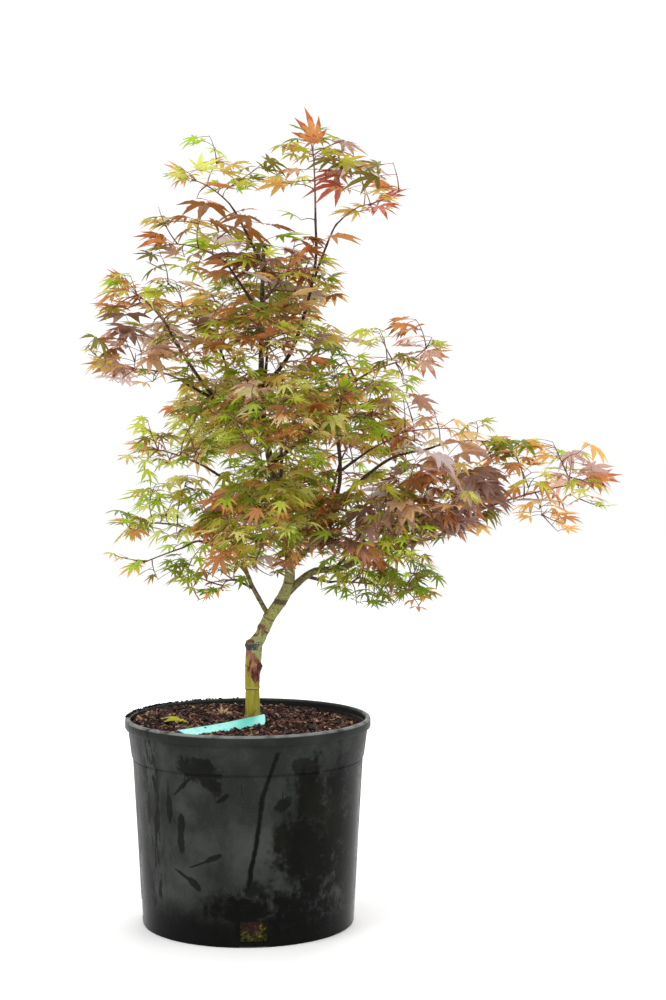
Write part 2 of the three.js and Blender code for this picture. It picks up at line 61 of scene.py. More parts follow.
class Wire:
    # a socket, so that shader maths reads as plain arithmetic
    def __init__(self, finish, socket):
        self.finish = finish
        self.socket = socket

    def math(self, operation, *others):
        return self.finish.node("ShaderNodeMath", {"operation": operation}, [self, *others])

    def __add__(self, other):
        return self.math("ADD", other)

    def __sub__(self, other):
        return self.math("SUBTRACT", other)

    def __rsub__(self, other):
        return self.finish.node("ShaderNodeMath", {"operation": "SUBTRACT"}, [other, self])

    def __mul__(self, other):
        return self.math("MULTIPLY", other)

    def __truediv__(self, other):
        return self.math("DIVIDE", other)

    def __abs__(self):
        return self.math("ABSOLUTE")

    __radd__, __rmul__ = __add__, __mul__


class Finish:
    # a material being put together
    def __init__(self, name):
        self.material = bpy.data.materials.new(name)
        self.material.use_nodes = True
        self.tree = self.material.node_tree
        self.tree.nodes.clear()

    def node(self, kind, settings=None, inputs=(), output=0):
        made = self.tree.nodes.new(kind)
        for key, value in (settings or {}).items():
            if key == "stops":
                while len(made.color_ramp.elements) < len(value):
                    made.color_ramp.elements.new(1.0)
                for element, (place, colour) in zip(made.color_ramp.elements, value):
                    element.position = place
                    element.color = (*colour, 1.0)
            else:
                setattr(made, key, value)
        pairs = inputs.items() if isinstance(inputs, dict) else enumerate(inputs)
        for key, value in pairs:
            if isinstance(value, Wire):
                self.tree.links.new(value.socket, made.inputs[key])
            elif isinstance(value, tuple) and made.inputs[key].type == "RGBA":
                made.inputs[key].default_value = (*value[:3], 1.0)
            else:
                made.inputs[key].default_value = value
        return Wire(self, made.outputs[output]) if len(made.outputs) else None

    def place(self, scale=(1, 1, 1)):
        raw = self.node("ShaderNodeTexCoord", output="Object")
        return self.node("ShaderNodeMapping", inputs={"Vector": raw, "Scale": scale})

    def axes(self):
        vector = self.place()
        return [self.node("ShaderNodeSeparateXYZ", inputs=[vector], output=axis) for axis in range(3)]

    def noise(self, scale, detail=4.0, rough=0.55, warp=0.0):
        # one scale, or three to stretch it along an axis
        stretch, scale = (scale, 1.0) if isinstance(scale, tuple) else ((1, 1, 1), scale)
        return self.node("ShaderNodeTexNoise", inputs={
            "Vector": self.place(stretch), "Scale": scale, "Detail": detail,
            "Roughness": rough, "Distortion": warp})

    def rise(self, value, low, high, toLow=0.0, toHigh=1.0):
        # a smooth step from low to high
        settings = {"interpolation_type": "SMOOTHSTEP", "clamp": True}
        return self.node("ShaderNodeMapRange", settings, [value, low, high, toLow, toHigh])

    def fall(self, value, low, high):
        return self.rise(value, low, high, 1.0, 0.0)

    def within(self, value, middle, inner, outer):
        # 1 as far as inner to each side of the middle, 0 from outer on
        return self.fall(abs(value - middle), inner, outer)

    def ramp(self, value, stops):
        return self.node("ShaderNodeValToRGB", {"stops": stops}, [value])

    def mix(self, factor, first, second):
        return self.node("ShaderNodeMix", {"data_type": "RGBA"}, {0: factor, 6: first, 7: second}, output=2)

    def bump(self, height, strength, distance):
        return self.node("ShaderNodeBump", inputs={
            "Height": height, "Strength": strength, "Distance": distance})

    def plain(self, colour, roughness, specular, normal=None):
        inputs = {"Base Color": colour, "Roughness": roughness, "Specular IOR Level": specular}
        if normal:
            inputs["Normal"] = normal
        return self.node("ShaderNodeBsdfPrincipled", inputs=inputs)

    def close(self, shader):
        self.node("ShaderNodeOutputMaterial", inputs={"Surface": shader})
        return self.material


def dressPiece(piece, slotName, *nodeNames):
    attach(piece, "root")
    if nodeNames:
        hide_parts(*nodeNames)


def meshPiece(name, points, faces, materials, tones, smooth=False):
    # a piece from points in millimetres
    mesh = bpy.data.meshes.new(name)
    mesh.from_pydata((np.asarray(points, float) * mm).tolist(), [], faces)
    for material in materials:
        mesh.materials.append(material)
    mesh.polygons.foreach_set("material_index", np.asarray(tones, np.int32))
    mesh.polygons.foreach_set("use_smooth", np.full(len(mesh.polygons), smooth))
    mesh.update()
    piece = bpy.data.objects.new(name, mesh)
    bpy.context.scene.collection.objects.link(piece)
    return piece


def seededDraws(seed):
    # draws from low to high, the same on each run
    state = ((seed + 11) * 40503) & 0xFFFFFFFF

    def draw(low=0.0, high=1.0):
        nonlocal state
        state = (state * 1664525 + 1013904223) & 0xFFFFFFFF
        return low + (high - low) * (state / 4294967296)

    draw()
    draw()
    return draw


def evenPoints(seed):
    # points spread evenly through a ball of radius 1, by the root of x^4 = x + 1
    ratio = 1.2207440846
    draw = seededDraws(seed)
    shift = [draw(), draw(), draw()]
    n = 0
    while True:
        n += 1
        spot = np.array([2 * ((start + n / ratio ** (axis + 1)) % 1) - 1 for axis, start in enumerate(shift)])
        if np.linalg.norm(spot) < 1:
            yield spot


# camera, light and floor
studio = {
    "cameraPlace": (0.097, -2.208, 0.588),
    "cameraPitch": -2.75,  # degrees
    "lens": 70,
    "sensor": 36,
    "skyColour": (1.0, 1.0, 1.0),
    "skyStrength": 1.05,
    "floorSize": 60,
    "floorColour": (0.955, 0.955, 0.95),
    "lamps": [  # place, size, watts
        ((-1.9, -1.6, 2.6), 1.6, 32),
        ((2.2, -1.0, 2.0), 1.6, 16),
        ((0.4, 2.4, 2.4), 2.0, 40),
    ],
    "lampAim": (0.08, 0, 0.45),
}


def makeStudio():
    clearSelection()
    pitch = math.radians(90 + studio["cameraPitch"])
    bpy.ops.object.camera_add(location=studio["cameraPlace"], rotation=(pitch, 0, 0))
    camera = bpy.context.active_object
    camera.data.lens = studio["lens"]
    camera.data.sensor_width = studio["sensor"]
    bpy.context.scene.camera = camera
    world = bpy.data.worlds.new("paleSky")
    bpy.context.scene.world = world
    bpy.context.scene.view_settings.view_transform = "Standard"
    world.use_nodes = True
    sky = world.node_tree.nodes["Background"]
    sky.inputs["Color"].default_value = (*studio["skyColour"], 1)
    sky.inputs["Strength"].default_value = studio["skyStrength"]
    for place, size, watts in studio["lamps"]:
        bpy.ops.object.light_add(type="AREA", location=place)
        lamp = bpy.context.active_object
        lamp.data.size = size
        lamp.data.energy = watts
        aim = Vector(studio["lampAim"]) - Vector(place)
        lamp.rotation_euler = aim.to_track_quat("-Z", "Y").to_euler()
    clearSelection()
    bpy.ops.mesh.primitive_plane_add(size=studio["floorSize"], location=(0, 0, 0))
    floor = bpy.context.active_object
    floor.name = "floor"
    finish = Finish("paleFloor")
    floor.data.materials.append(finish.close(finish.plain(
        colour=studio["floorColour"], roughness=1.0, specular=0.0)))


makeStudio()
print("studio ready")

# the nursery pot, drawn up ring by ring
potShape = {
    "sides": 128,
    "rings": [  # radius, height
        [118.6, 0], [120.3, 0.5], [121, 2.4], [126, 96], [131.2, 188.4], [130.5, 189.2],
        [130.5, 190.6], [132.3, 191.4], [132.8, 193], [136.4, 220.6], [136.6, 223], [139, 223.4],
        [140, 224.8], [140, 232.4], [139.5, 233.9], [138.2, 234.8], [136.7, 235], [135.2, 234.7],
        [134.3, 233.6], [134.1, 232], [133.9, 227.4], [133, 226.6], [132.7, 225.6], [132.5, 219.4],
        [131.9, 218.6], [131.4, 217.6], [128.8, 191], [118.6, 3],
    ],
    "holeTurn": -85,
    "holeSize": [16, 29, 23],
    "holeMiddle": [121, 0, 17.5],
    "notchSize": [14, 33, 3.6],
    "smoothAngle": 38,
}
marks = {
    "radius": 0.131,
    # metres: across from the middle of the front, height, half width, half height, then the slope
    "patches": [
        [-0.050, 0.196, 0.024, 0.013, -0.1], [-0.038, 0.182, 0.014, 0.010, -0.5],
        [-0.068, 0.178, 0.013, 0.003, 0.9], [0.066, 0.199, 0.013, 0.012, -0.2],
        [0.046, 0.158, 0.010, 0.007, 0.4], [-0.074, 0.124, 0.005, 0.018, 0],
        [-0.090, 0.150, 0.004, 0.016, 0], [-0.021, 0.166, 0.007, 0.003, 0.6],
        [-0.036, 0.098, 0.010, 0.0035, 0.4], [-0.052, 0.091, 0.012, 0.0012, 0.4],
        [-0.058, 0.068, 0.008, 0.005, -0.5], [-0.072, 0.076, 0.012, 0.0018, -0.5],
        [0.010, 0.064, 0.012, 0.010, 0.2], [-0.250, 0.150, 0.040, 0.050, 0.2],
        [0.330, 0.160, 0.060, 0.030, -0.2],
    ],
    "patchEdge": [0.7, 1.5, 0.82],  # inner end, outer end and how wet it is inside
    "softPatches": [
        [0.078, 0.160, 0.022, 0.050, 0], [0.084, 0.098, 0.044, 0.060, 0], [0.050, 0.030, 0.100, 0.034, 0],
        [0.118, 0.140, 0.024, 0.070, 0], [0.044, 0.120, 0.012, 0.020, 0], [0.156, 0.100, 0.042, 0.085, 0],
        [-0.150, 0.060, 0.022, 0.040, 0], [0.240, 0.090, 0.050, 0.060, 0], [-0.340, 0.070, 0.040, 0.050, 0],
    ],
    "softEdge": [0.2, 1.7, 1.0],
    "dribble": [[0.217, 0.0372], [0.165, 0.0206], [0.121, 0.0161], [0.078, 0.0075], [0.060, 0.0025]],
    "dribbleWidth": 0.0031,
    "streaks": [-0.20, -0.13, -0.115, -0.095],  # across: where they begin, are full, fade and end
    "ragged": 4.6,
    "dripsBelow": [0.186, 0.189],
    "wetFoot": [0.018, 0.055],
}
potTones = {
    "film": [(0.018, 0.020, 0.018), (0.044, 0.048, 0.045)],
    "smear": (0.016, 0.017, 0.015),
    "speck": (0.085, 0.088, 0.08),
    "wet": [(0.0030, 0.0034, 0.0028), (0.0078, 0.0076, 0.0044)],
    "band": (0.014, 0.015, 0.014),
    # a painted highlight along the rim's top
    "rimHighlight": (0.22, 0.225, 0.22),
}


def turnedShell(name, rings, sides):
    clearSelection()
    radius, height = rings[0]
    bpy.ops.mesh.primitive_circle_add(
        vertices=sides, radius=radius * mm, fill_type="NGON", location=(0, 0, height * mm))
    piece = bpy.context.active_object
    piece.name = name
    bpy.ops.object.transform_apply(location=True, rotation=True, scale=True)
    bpy.ops.object.mode_set(mode="EDIT")
    bpy.ops.mesh.select_all(action="SELECT")
    for nextRadius, nextHeight in rings[1:]:
        rise = (nextHeight - height) * mm
        bpy.ops.mesh.extrude_region_move(TRANSFORM_OT_translate={"value": (0, 0, rise)})
        part = nextRadius / radius
        bpy.ops.transform.resize(value=(part, part, 1), center_override=(0, 0, nextHeight * mm))
        radius, height = nextRadius, nextHeight
    bpy.ops.mesh.select_all(action="SELECT")
    bpy.ops.mesh.normals_make_consistent(inside=False)
    bpy.ops.object.mode_set(mode="OBJECT")
    return piece


def cutBox(piece, size, middle, turn):
    clearSelection()
    bpy.ops.mesh.primitive_cube_add(size=1, location=[value * mm for value in middle])
    cutter = bpy.context.active_object
    cutter.scale = [value * mm for value in size]
    bpy.ops.object.transform_apply(location=True, rotation=True, scale=True)
    cutter.data.transform(Matrix.Rotation(math.radians(turn), 4, "Z"))
    makeActive(piece)
    cut = piece.modifiers.new("cut", "BOOLEAN")
    cut.operation = "DIFFERENCE"
    cut.solver = "EXACT"
    cut.object = cutter
    bpy.ops.object.modifier_apply(modifier="cut")
    bpy.data.objects.remove(cutter)


def waterMarks(finish, across, z, ragged):
    # how wet the wall is: patches, one long dribble, streaks at the left, drips and a damp foot
    wet = None
    for kind, edge in (("patches", "patchEdge"), ("softPatches", "softEdge")):
        for u, height, halfWidth, halfHeight, slope in marks[kind]:
            side = across - u
            lift = (z - height - side * slope) / halfHeight
            side = side / halfWidth
            reach = side * side + lift * lift + ragged * marks["ragged"]
            low, high, most = marks[edge]
            patch = finish.rise(reach, low, high, most, 0.0)
            wet = wet.math("MAXIMUM", patch) if wet else patch
    steps = marks["dribble"]
    path = finish.noise(45, 2) * 0.006 + (steps[0][1] - 0.003)
    for (high, startU), (low, endU) in zip(steps, steps[1:]):
        path = path + finish.node("ShaderNodeMapRange", {"clamp": True}, [z, high, low, 0.0, endU - startU])
    off = abs(across - path) + ragged * 0.006
    run = finish.fall(off, marks["dribbleWidth"] * 0.4, marks["dribbleWidth"] * 1.3)
    run = run * finish.rise(z, steps[-1][0] - 0.004, steps[-1][0] + 0.004)
    run = run * finish.fall(z, steps[0][0] - 0.003, steps[0][0] + 0.001)
    low, full, fades, ends = marks["streaks"]
    left = finish.rise(across, low, full) * finish.fall(across, fades, ends)
    streaks = finish.rise(finish.noise((95, 95, 22), 4, rough=0.7), 0.49, 0.53) * left
    drips = finish.rise(finish.noise((160, 160, 14), 3, rough=0.6), 0.66, 0.70)
    drips = drips * finish.fall(z, *marks["dripsBelow"])
    foot = finish.fall(z + ragged * 0.03, *marks["wetFoot"]) * 0.95
    for other in (run, streaks, drips * 0.7, foot):
        wet = wet.math("MAXIMUM", other)
    return wet


def potFinish():
    finish = Finish("dustyBlackPlastic")
    x, y, z = finish.axes()
    across = x.math("ARCTAN2", y * -1) * marks["radius"]
    ragged = finish.noise(46, 5, rough=0.6, warp=0.5) * 0.7 + finish.noise(150, 3) * 0.5 - 0.6
    wet = waterMarks(finish, across, z, ragged)
    cloud = finish.rise(finish.noise(14, 5, rough=0.6), 0.38, 0.66)
    film = finish.mix(cloud, *potTones["film"])
    smear = finish.rise(finish.noise((34, 34, 9), 4, rough=0.65), 0.50, 0.70)
    film = finish.mix(smear * 0.5, film, potTones["smear"])
    speck = finish.rise(finish.noise(900, 2), 0.60, 0.72)
    film = finish.mix(speck * 0.3, film, potTones["speck"])
    warm = finish.rise(finish.noise((10, 10, 4), 3), 0.55, 0.72)
    colour = finish.mix(wet, film, finish.mix(warm, *potTones["wet"]))
    # the rolled rim: darker outside, with a painted highlight along its top, most of all in front
    band = finish.rise(z, 0.222, 0.2245)
    colour = finish.mix(band * 0.5, colour, potTones["band"])
    rimHighlight = finish.rise(z, 0.2318, 0.2334) * finish.rise(finish.noise(60, 4), 0.26, 0.60)
    rimHighlight = rimHighlight * finish.rise(y, 0.0, 0.07, 1.0, 0.2)
    colour = finish.mix(rimHighlight * 0.85, colour, potTones["rimHighlight"])
    roughness = finish.rise(wet, 0, 1, 0.42, 0.22) + (finish.noise(120, 3) - 0.5) * 0.16
    scuffs = finish.noise((700, 700, 60), 3)
    relief = finish.noise(260, 3) * 0.6 + scuffs * 0.4 + wet * 0.4
    return finish.close(finish.plain(colour, roughness, 0.05, finish.bump(relief, 0.12, 0.0006)))


pot = turnedShell("nurseryPot", potShape["rings"], potShape["sides"])
for quarter in range(4):
    cutBox(pot, potShape["holeSize"], potShape["holeMiddle"], potShape["holeTurn"] + 90 * quarter)
cutBox(pot, potShape["notchSize"], [potShape["holeMiddle"][0], 0, 0], potShape["holeTurn"])
pot.data.materials.clear()
pot.data.materials.append(potFinish())
makeActive(pot)
bpy.ops.object.shade_smooth_by_angle(angle=math.radians(potShape["smoothAngle"]))
dressPiece(pot, "pot_plastic", "pot")
print("pot ready")

# the bare plant label, which the mulch leaves room for
label = {
    "length": 122,
    "width": 20,
    "bare": 8.5,  # half the width kept free of chips
    "thickness": 1.0,
    "nearEnd": [20, -20],
    "oblique": -0.9,
    "corner": 1.4,
    "turn": 44,
    "tilt": 20,
    "dip": 0.8,
    "sag": 1.6,
    "ripple": [0.8, 0.15],
    "colours": [0x50CCC2, 0x6AD8CE],
    "dust": 0x6E8A7C,
}

# bark mulch: a lumpy bed, loose chips on it and crumbs on the rim
mulch = {
    "level": 229.3,
    "edgeDrop": 3,
    "slope": 0.034,
    "flatRadius": 20,
    "edgeRadius": 134.2,
    "sides": 128,
    "side": [[117.9, 3.4], [119.4, 30], [128.0, 190], [131.6, 224], [131.6, 226.6]],
    "ringStep": 3.3,
    "lump": [2.6, 0.9, 0.11],  # height of the lumps, how much of it lies sunk, and their scale
    "wall": [4, 220],
    "wallInwards": [1.2, 1.6],  # how far it stands back from the pot, and more where it is lumpy
    "chips": 3900,
    "chipLong": [3, 14],
    "chipWide": [1.7, 5],
    "chipThick": [0.9, 2.4],
    "chipLift": [-0.6, 2.2],
    "chipTilt": 0.5,
    "chipRoll": 0.6,
    # how uneven a chip is: the width of its ends, then its corners along, across and up
    "uneven": [[0.45, 0.95], [0.85, 1.1], [0.7, 1.2], [0.6, 1.2]],
    "reach": 129.5,
    "chipEdge": 132,
    "trunkX": 5.6,
    "trunkRoom": [12, 13],  # smaller chips within the first, none within the second
    "rimCrumbs": 190,
    "crumbTurn": [88, 96],  # degrees: where they start, and how far they spread
    "crumbRing": [134.6, 138.8],
    "crumbSize": [[1, 3.4], [0.8, 2.2], [0.6, 1.6]],
    "crumbTilt": 0.4,
    "rimTop": 235.1,
    "mossy": [0.020, 0.032],  # metres: moss below the first, none above the second
}
chipColours = [  # with how often each is dealt
    (0x1A1211, 6), (0x402A26, 6), (0x60403A, 5), (0x885E50, 3), (0xB48A68, 1.3), (0xD6B894, 0.7),
]


def mulchHeight(x, y):
    out = math.hypot(x, y)
    edge = max(0, out - mulch["flatRadius"]) / (mulch["edgeRadius"] - mulch["flatRadius"])
    return mulch["level"] - mulch["slope"] * x * min(1, edge * 2) - mulch["edgeDrop"] * edge * edge


def mulchFinish(name, colour, grain):
    finish = Finish(name)
    coarse = finish.noise(grain, 5, rough=0.7)
    dark = tuple(part * 0.35 for part in colour)
    tone = finish.mix(finish.rise(coarse, 0.34, 0.62), dark, colour)
    relief = coarse + finish.noise(grain * 3, 3) * 0.5
    return finish.close(finish.plain(tone, 0.92, 0.25, finish.bump(relief, 0.7, 0.0012)))


def bedFinish():
    finish = Finish("mulchBed")
    z = finish.axes()[2]
    coarse = finish.noise(420, 5, rough=0.7)
    earth = finish.ramp(coarse, [
        (0.32, linear(0x0E0A08)), (0.52, linear(0x2E1E18)), (0.68, linear(0x543426))])
    green = finish.ramp(finish.noise(300, 4), [
        (0.38, linear(0x1C1A0E)), (0.55, linear(0x55521E)), (0.72, linear(0x928A3E))])
    mossy = finish.rise(finish.noise(90, 3), 0.40, 0.52) * finish.fall(z, *mulch["mossy"])
    colour = finish.mix(mossy, earth, green)
    return finish.close(finish.plain(colour, 0.95, 0.2, finish.bump(coarse, 0.8, 0.002)))


def makeBed():
    rings = [list(ring) for ring in mulch["side"]]
    radius = rings[-1][0] - mulch["wallInwards"][0]
    while radius > 3:
        rings.append([radius, mulch["level"]])
        radius -= mulch["ringStep"]
    bed = turnedShell("mulchBed", rings, mulch["sides"])
    lump, sunk, scale = mulch["lump"]
    least, more = mulch["wallInwards"]
    low, high = mulch["wall"]
    for vertex in bed.data.vertices:
        x, y, z = (value / mm for value in vertex.co)
        out = math.hypot(x, y)
        rough = noise.turbulence(Vector((x, y, z)) * scale, 3, True)
        if z > mulch["level"] - 1:
            vertex.co.z = (mulchHeight(x, y) + lump * (rough - sunk)) * mm
        elif low < z < high:
            inward = 1 - (least + more * rough) / out
            vertex.co.x *= inward
            vertex.co.y *= inward
    bed.data.materials.clear()
    bed.data.materials.append(bedFinish())
    makeActive(bed)
    bpy.ops.object.shade_smooth()
    return bed


def chipBlock(draw, centre, size, turn, tilt, roll):
    # eight corners of an uneven splinter, narrower at its ends
    corners = []
    ends, alongs, sides, tops = mulch["uneven"]
    for along in (-0.5, 0.5):
        end = draw(*ends)
        for side, top in ((-0.5, -0.5), (0.5, -0.5), (0.5, 0.5), (-0.5, 0.5)):
            corners.append((along * size[0] * draw(*alongs), side * size[1] * end * draw(*sides),
                            top * size[2] * draw(*tops)))
    turned = Matrix.Rotation(turn, 3, "Z") @ Matrix.Rotation(tilt, 3, "Y") @ Matrix.Rotation(roll, 3, "X")
    return [tuple(turned @ Vector(corner) + Vector(centre)) for corner in corners]


chipFaces = [(3, 2, 1, 0), (4, 5, 6, 7), (0, 1, 5, 4), (1, 2, 6, 5), (2, 3, 7, 6), (3, 0, 4, 7)]


def dealt(draw, weights):
    # an index dealt by weight
    pick = draw(0, sum(weights))
    for index, weight in enumerate(weights):
        pick -= weight
        if pick < 0:
            return index
    return len(weights) - 1


def makeChips():
    draw = seededDraws(501)
    points, faces, tones = [], [], []
    weights = [weight for _, weight in chipColours]

    def lay(centre, size, turn, tilt, roll, tone):
        block = chipBlock(draw, centre, size, turn, tilt, roll)
        start = len(points)
        points.extend(block)
        faces.extend([tuple(corner + start for corner in face) for face in chipFaces])
        tones.extend([tone] * len(chipFaces))

    turn = math.radians(270 - label["turn"])
    tilt, roll = mulch["chipTilt"], mulch["chipRoll"]
    for _ in range(mulch["chips"]):
        out = mulch["reach"] * math.sqrt(draw())
        angle = draw(0, 2 * math.pi)
        x, y = out * math.cos(angle), out * math.sin(angle)
        fromX, fromY = x - label["nearEnd"][0], y - label["nearEnd"][1]
        along = fromX * math.cos(turn) + fromY * math.sin(turn)
        aside = fromY * math.cos(turn) - fromX * math.sin(turn)
        if 0 < along < label["length"] and abs(aside) < label["bare"]:
            continue
        size = [draw(*mulch["chipLong"]) * draw(0.5, 1), draw(*mulch["chipWide"]), draw(*mulch["chipThick"])]
        fromTrunk = math.hypot(x - mulch["trunkX"], y)
        if fromTrunk < mulch["trunkRoom"][0] + size[0] / 2:
            size = [part * 0.5 for part in size]
        if fromTrunk < mulch["trunkRoom"][1] or out + size[0] / 2 > mulch["chipEdge"]:
            continue
        lift = mulchHeight(x, y) + draw(*mulch["chipLift"])
        lay((x, y, lift), size, draw(0, 6.28), draw(-tilt, tilt), draw(-roll, roll), dealt(draw, weights))
    crumbsFrom, crumbsOver = mulch["crumbTurn"]
    tilt = mulch["crumbTilt"]
    for _ in range(mulch["rimCrumbs"]):
        angle = math.radians(crumbsFrom + crumbsOver * math.sqrt(draw()))
        out = draw(*mulch["crumbRing"])
        size = [draw(*span) for span in mulch["crumbSize"]]
        centre = (out * math.cos(angle), out * math.sin(angle), mulch["rimTop"] + size[2] * 0.3)
        lay(centre, size, draw(0, 6.28), draw(-tilt, tilt), draw(-tilt, tilt), 0)
    finishes = [mulchFinish(f"barkChip{n}", linear(code), 500) for n, (code, _) in enumerate(chipColours)]
    return meshPiece("barkChips", points, faces, finishes, tones)


dressPiece(makeBed(), "bark_mulch", "soil")
dressPiece(makeChips(), "bark_mulch")
print("mulch ready")


def labelFinish():
    finish = Finish("tealLabel")
    dust = finish.rise(finish.noise(160, 5, rough=0.7), 0.50, 0.72)
    streak = finish.noise((260, 60, 60), 3)
    base = finish.mix(streak, *(linear(code) for code in label["colours"]))
    colour = finish.mix(dust * 0.22, base, linear(label["dust"]))
    roughness = finish.rise(dust, 0, 1, 0.38, 0.7)
    return finish.close(finish.plain(colour, roughness, 0.5, finish.bump(dust, 0.15, 0.0004)))


def makeLabel():
    clearSelection()
    bpy.ops.mesh.primitive_cube_add(size=1, location=(0, 0, 0))
    strip = bpy.context.active_object
    strip.name = "plantLabel"
    strip.data.transform(Matrix.Diagonal((label["length"], label["width"], label["thickness"], 1)))
    strip.data.transform(Matrix.Translation((label["length"] / 2, 0, label["thickness"] / 2)))
    makeActive(strip)
    bpy.ops.object.mode_set(mode="EDIT")
    bpy.ops.mesh.select_all(action="SELECT")
    bpy.ops.mesh.subdivide(number_cuts=9)
    bpy.ops.object.mode_set(mode="OBJECT")
    swell, wave = label["ripple"]
    for vertex in strip.data.vertices:
        part = vertex.co.x / label["length"]
        vertex.co.x -= vertex.co.y * label["oblique"] * max(0, 1 - part * 4)
        corner = max(0, 1 - part * 40) * (abs(vertex.co.y) / label["width"] * 2) ** 4
        vertex.co.x += label["corner"] * corner
        vertex.co.z += swell * math.sin(vertex.co.y * wave) * part - label["sag"] * math.sin(math.pi * part)
    turn = math.radians(270 - label["turn"])
    alongX, alongY = label["length"] * math.cos(turn), label["length"] * math.sin(turn)
    under = [mulchHeight(label["nearEnd"][0] + part * alongX, label["nearEnd"][1] + part * alongY)
             for part in (0, 0.5, 1)]
    rest = max(under) + label["width"] / 2 * math.sin(math.radians(label["tilt"])) + label["sag"] * 0.6
    strip.data.transform(Matrix.Rotation(math.radians(-label["tilt"]), 4, "X"))
    strip.data.transform(Matrix.Rotation(math.radians(label["dip"]), 4, "Y"))
    strip.data.transform(Matrix.Rotation(turn, 4, "Z"))
    strip.data.transform(Matrix.Translation((*label["nearEnd"], rest)))
    strip.data.transform(Matrix.Scale(mm, 4))
    strip.data.materials.append(labelFinish())
    bpy.ops.object.shade_smooth_by_angle(angle=math.radians(30))
    return strip


dressPiece(makeLabel(), "label_plastic", "plant_label")
print("label ready")

# the trunk: height, x, y and radius of its stations
trunk = {
    "stations": [
        [229.7, 5.6, 0, 10.6], [238, 5.4, 0, 8.6], [264, 4.9, 0.5, 8], [271, 4.8, 0.6, 8.3],
        [292, 5.6, 1.6, 9.1], [304, 6.3, 2.5, 9.4], [313, 7.2, 2.7, 9.2], [318.5, 9, 2.9, 8.6],
        [323.5, 12.8, 3, 7.2], [330, 16, 2.6, 6.8], [340, 20.6, 1.8, 7.2], [349, 25, 1, 6.8],
        [374, 41.5, -3, 6.9], [400, 48, -5, 5.8], [456, 42.4, 0, 5], [527, 25.4, 4, 4.2],
        [588, 16.5, 8, 3.6], [650, 15.6, 7, 3.1], [708, 16.7, 3, 2.6], [770, 19, 0, 2],
    ],
    "sides": 28,
    "stub": [  # the cut end beside the graft: x, y, height, radius
        [5.2, 1, 306, 5.8], [3.6, 0.2, 314, 6.2], [3.1, 0, 318.5, 6], [3.1, 0, 321.2, 4.9],
        [3.2, 0, 322.8, 3], [3.2, 0, 323.4, 0.6],
    ],
    "stubRings": 18,
    "step": 1.1,
    # growth rings: height, how far they stand out, half height
    "ringMarks": [[267.4, 0.75, 0.9], [293, 0.4, 0.9], [347, 0.35, 1.1], [366, 0.5, 1.8], [389, 0.4, 1.4],
                  [418, 0.3, 1.2], [452, 0.3, 1.2], [505, 0.3, 1.2], [560, 0.3, 1.0], [620, 0.3, 1.0]],
    "scar": [272, 308],  # heights between which the bark is torn
    "knots": [  # height, its half height, how far it stands out, the way it faces
        [292, 3.2, 1.7, [0.9, -0.45]], [316, 3.6, 0.8, [-1, -0.1]], [327.6, 1.8, 0.9, [-0.95, -0.3]],
        [331.5, 1.3, 0.6, [0.95, -0.3]], [337.8, 2.8, 1.5, [-0.9, -0.4]], [352, 2.4, 0.8, [-1, 0]],
    ],
    "radius": 7,  # about its own, to lay the rings square to it
    "grain": 0.2,
    "grainScale": [0.9, 0.12],  # across and along
    "pores": 0.7,
    "poreScale": 0.55,
    "torn": 1.3,
    "tornScale": [0.4, 0.14],
}

# boughs: name, carrier, height on the trunk or part of the carrier's length, radius, bends
boughTaper = 0.52
boughReach = 0.62  # how far out from its mass's middle a bough ends, in parts of the radius
boughs = [
    ["low_right", "trunk", 371, 4.4, [[73, -8, 400], [118, -16, 410]]],
    ["low_left", "trunk", 348, 2.9, [[6, -3, 382], [-8, -8, 408]]],
    ["right_rising", "trunk", 404, 3.4, [[84, -8, 448], [104, -10, 500]]],
    ["leader", "trunk", 606, 2.5, [[52, 5, 656], [76, 0, 742]]],
    ["leader_side", "leader", 0.62, 1.7, [[96, -10, 784]]],
    ["top_left", "trunk", 746, 1.9, [[-8, 4, 798]]],
    ["upper_left", "trunk", 690, 2.1, [[-18, -8, 742]]],
    ["left_tip", "trunk", 545, 2.8, [[-36, -18, 598], [-76, -24, 655]]],
    ["left_upper", "left_tip", 0.42, 2.2, [[-64, -42, 612]]],
    ["left_back", "trunk", 566, 2.4, [[-16, 26, 616]]],
    ["right_upper", "trunk", 522, 2.5, [[72, 12, 560], [112, 6, 606]]],
    ["right_mid", "right_rising", 0.5, 2.3, [[158, 12, 526], [206, 8, 540]]],
    ["right_inner", "right_rising", 0.72, 1.9, [[134, -12, 536]]],
    ["left_middle", "trunk", 438, 2.6, [[-2, 6, 488]]],
    ["left_low", "low_left", 0.56, 2, [[-50, -22, 436]]],
    ["under_left", "low_left", 0.28, 1.8, []],
    ["front_middle", "trunk", 484, 2.5, [[40, -48, 524]]],
    ["front_low", "trunk", 424, 2.4, [[38, -44, 436]]],
    ["right_low", "low_right", 0.4, 2.2, []],
    ["right_far", "low_right", 0.8, 2.2, [[210, 6, 438], [262, 10, 468]]],
    ["right_under", "low_right", 0.2, 2.3, [[92, 8, 388]]],
    ["back_upper", "trunk", 588, 2.4, [[20, 50, 640]]],
    ["back_middle", "trunk", 468, 2.6, [[16, 50, 516]]],
    ["back_right", "right_rising", 0.36, 2.4, [[96, 44, 490]]],
    ["back_low", "trunk", 414, 2.5, [[44, 50, 432]]],
]

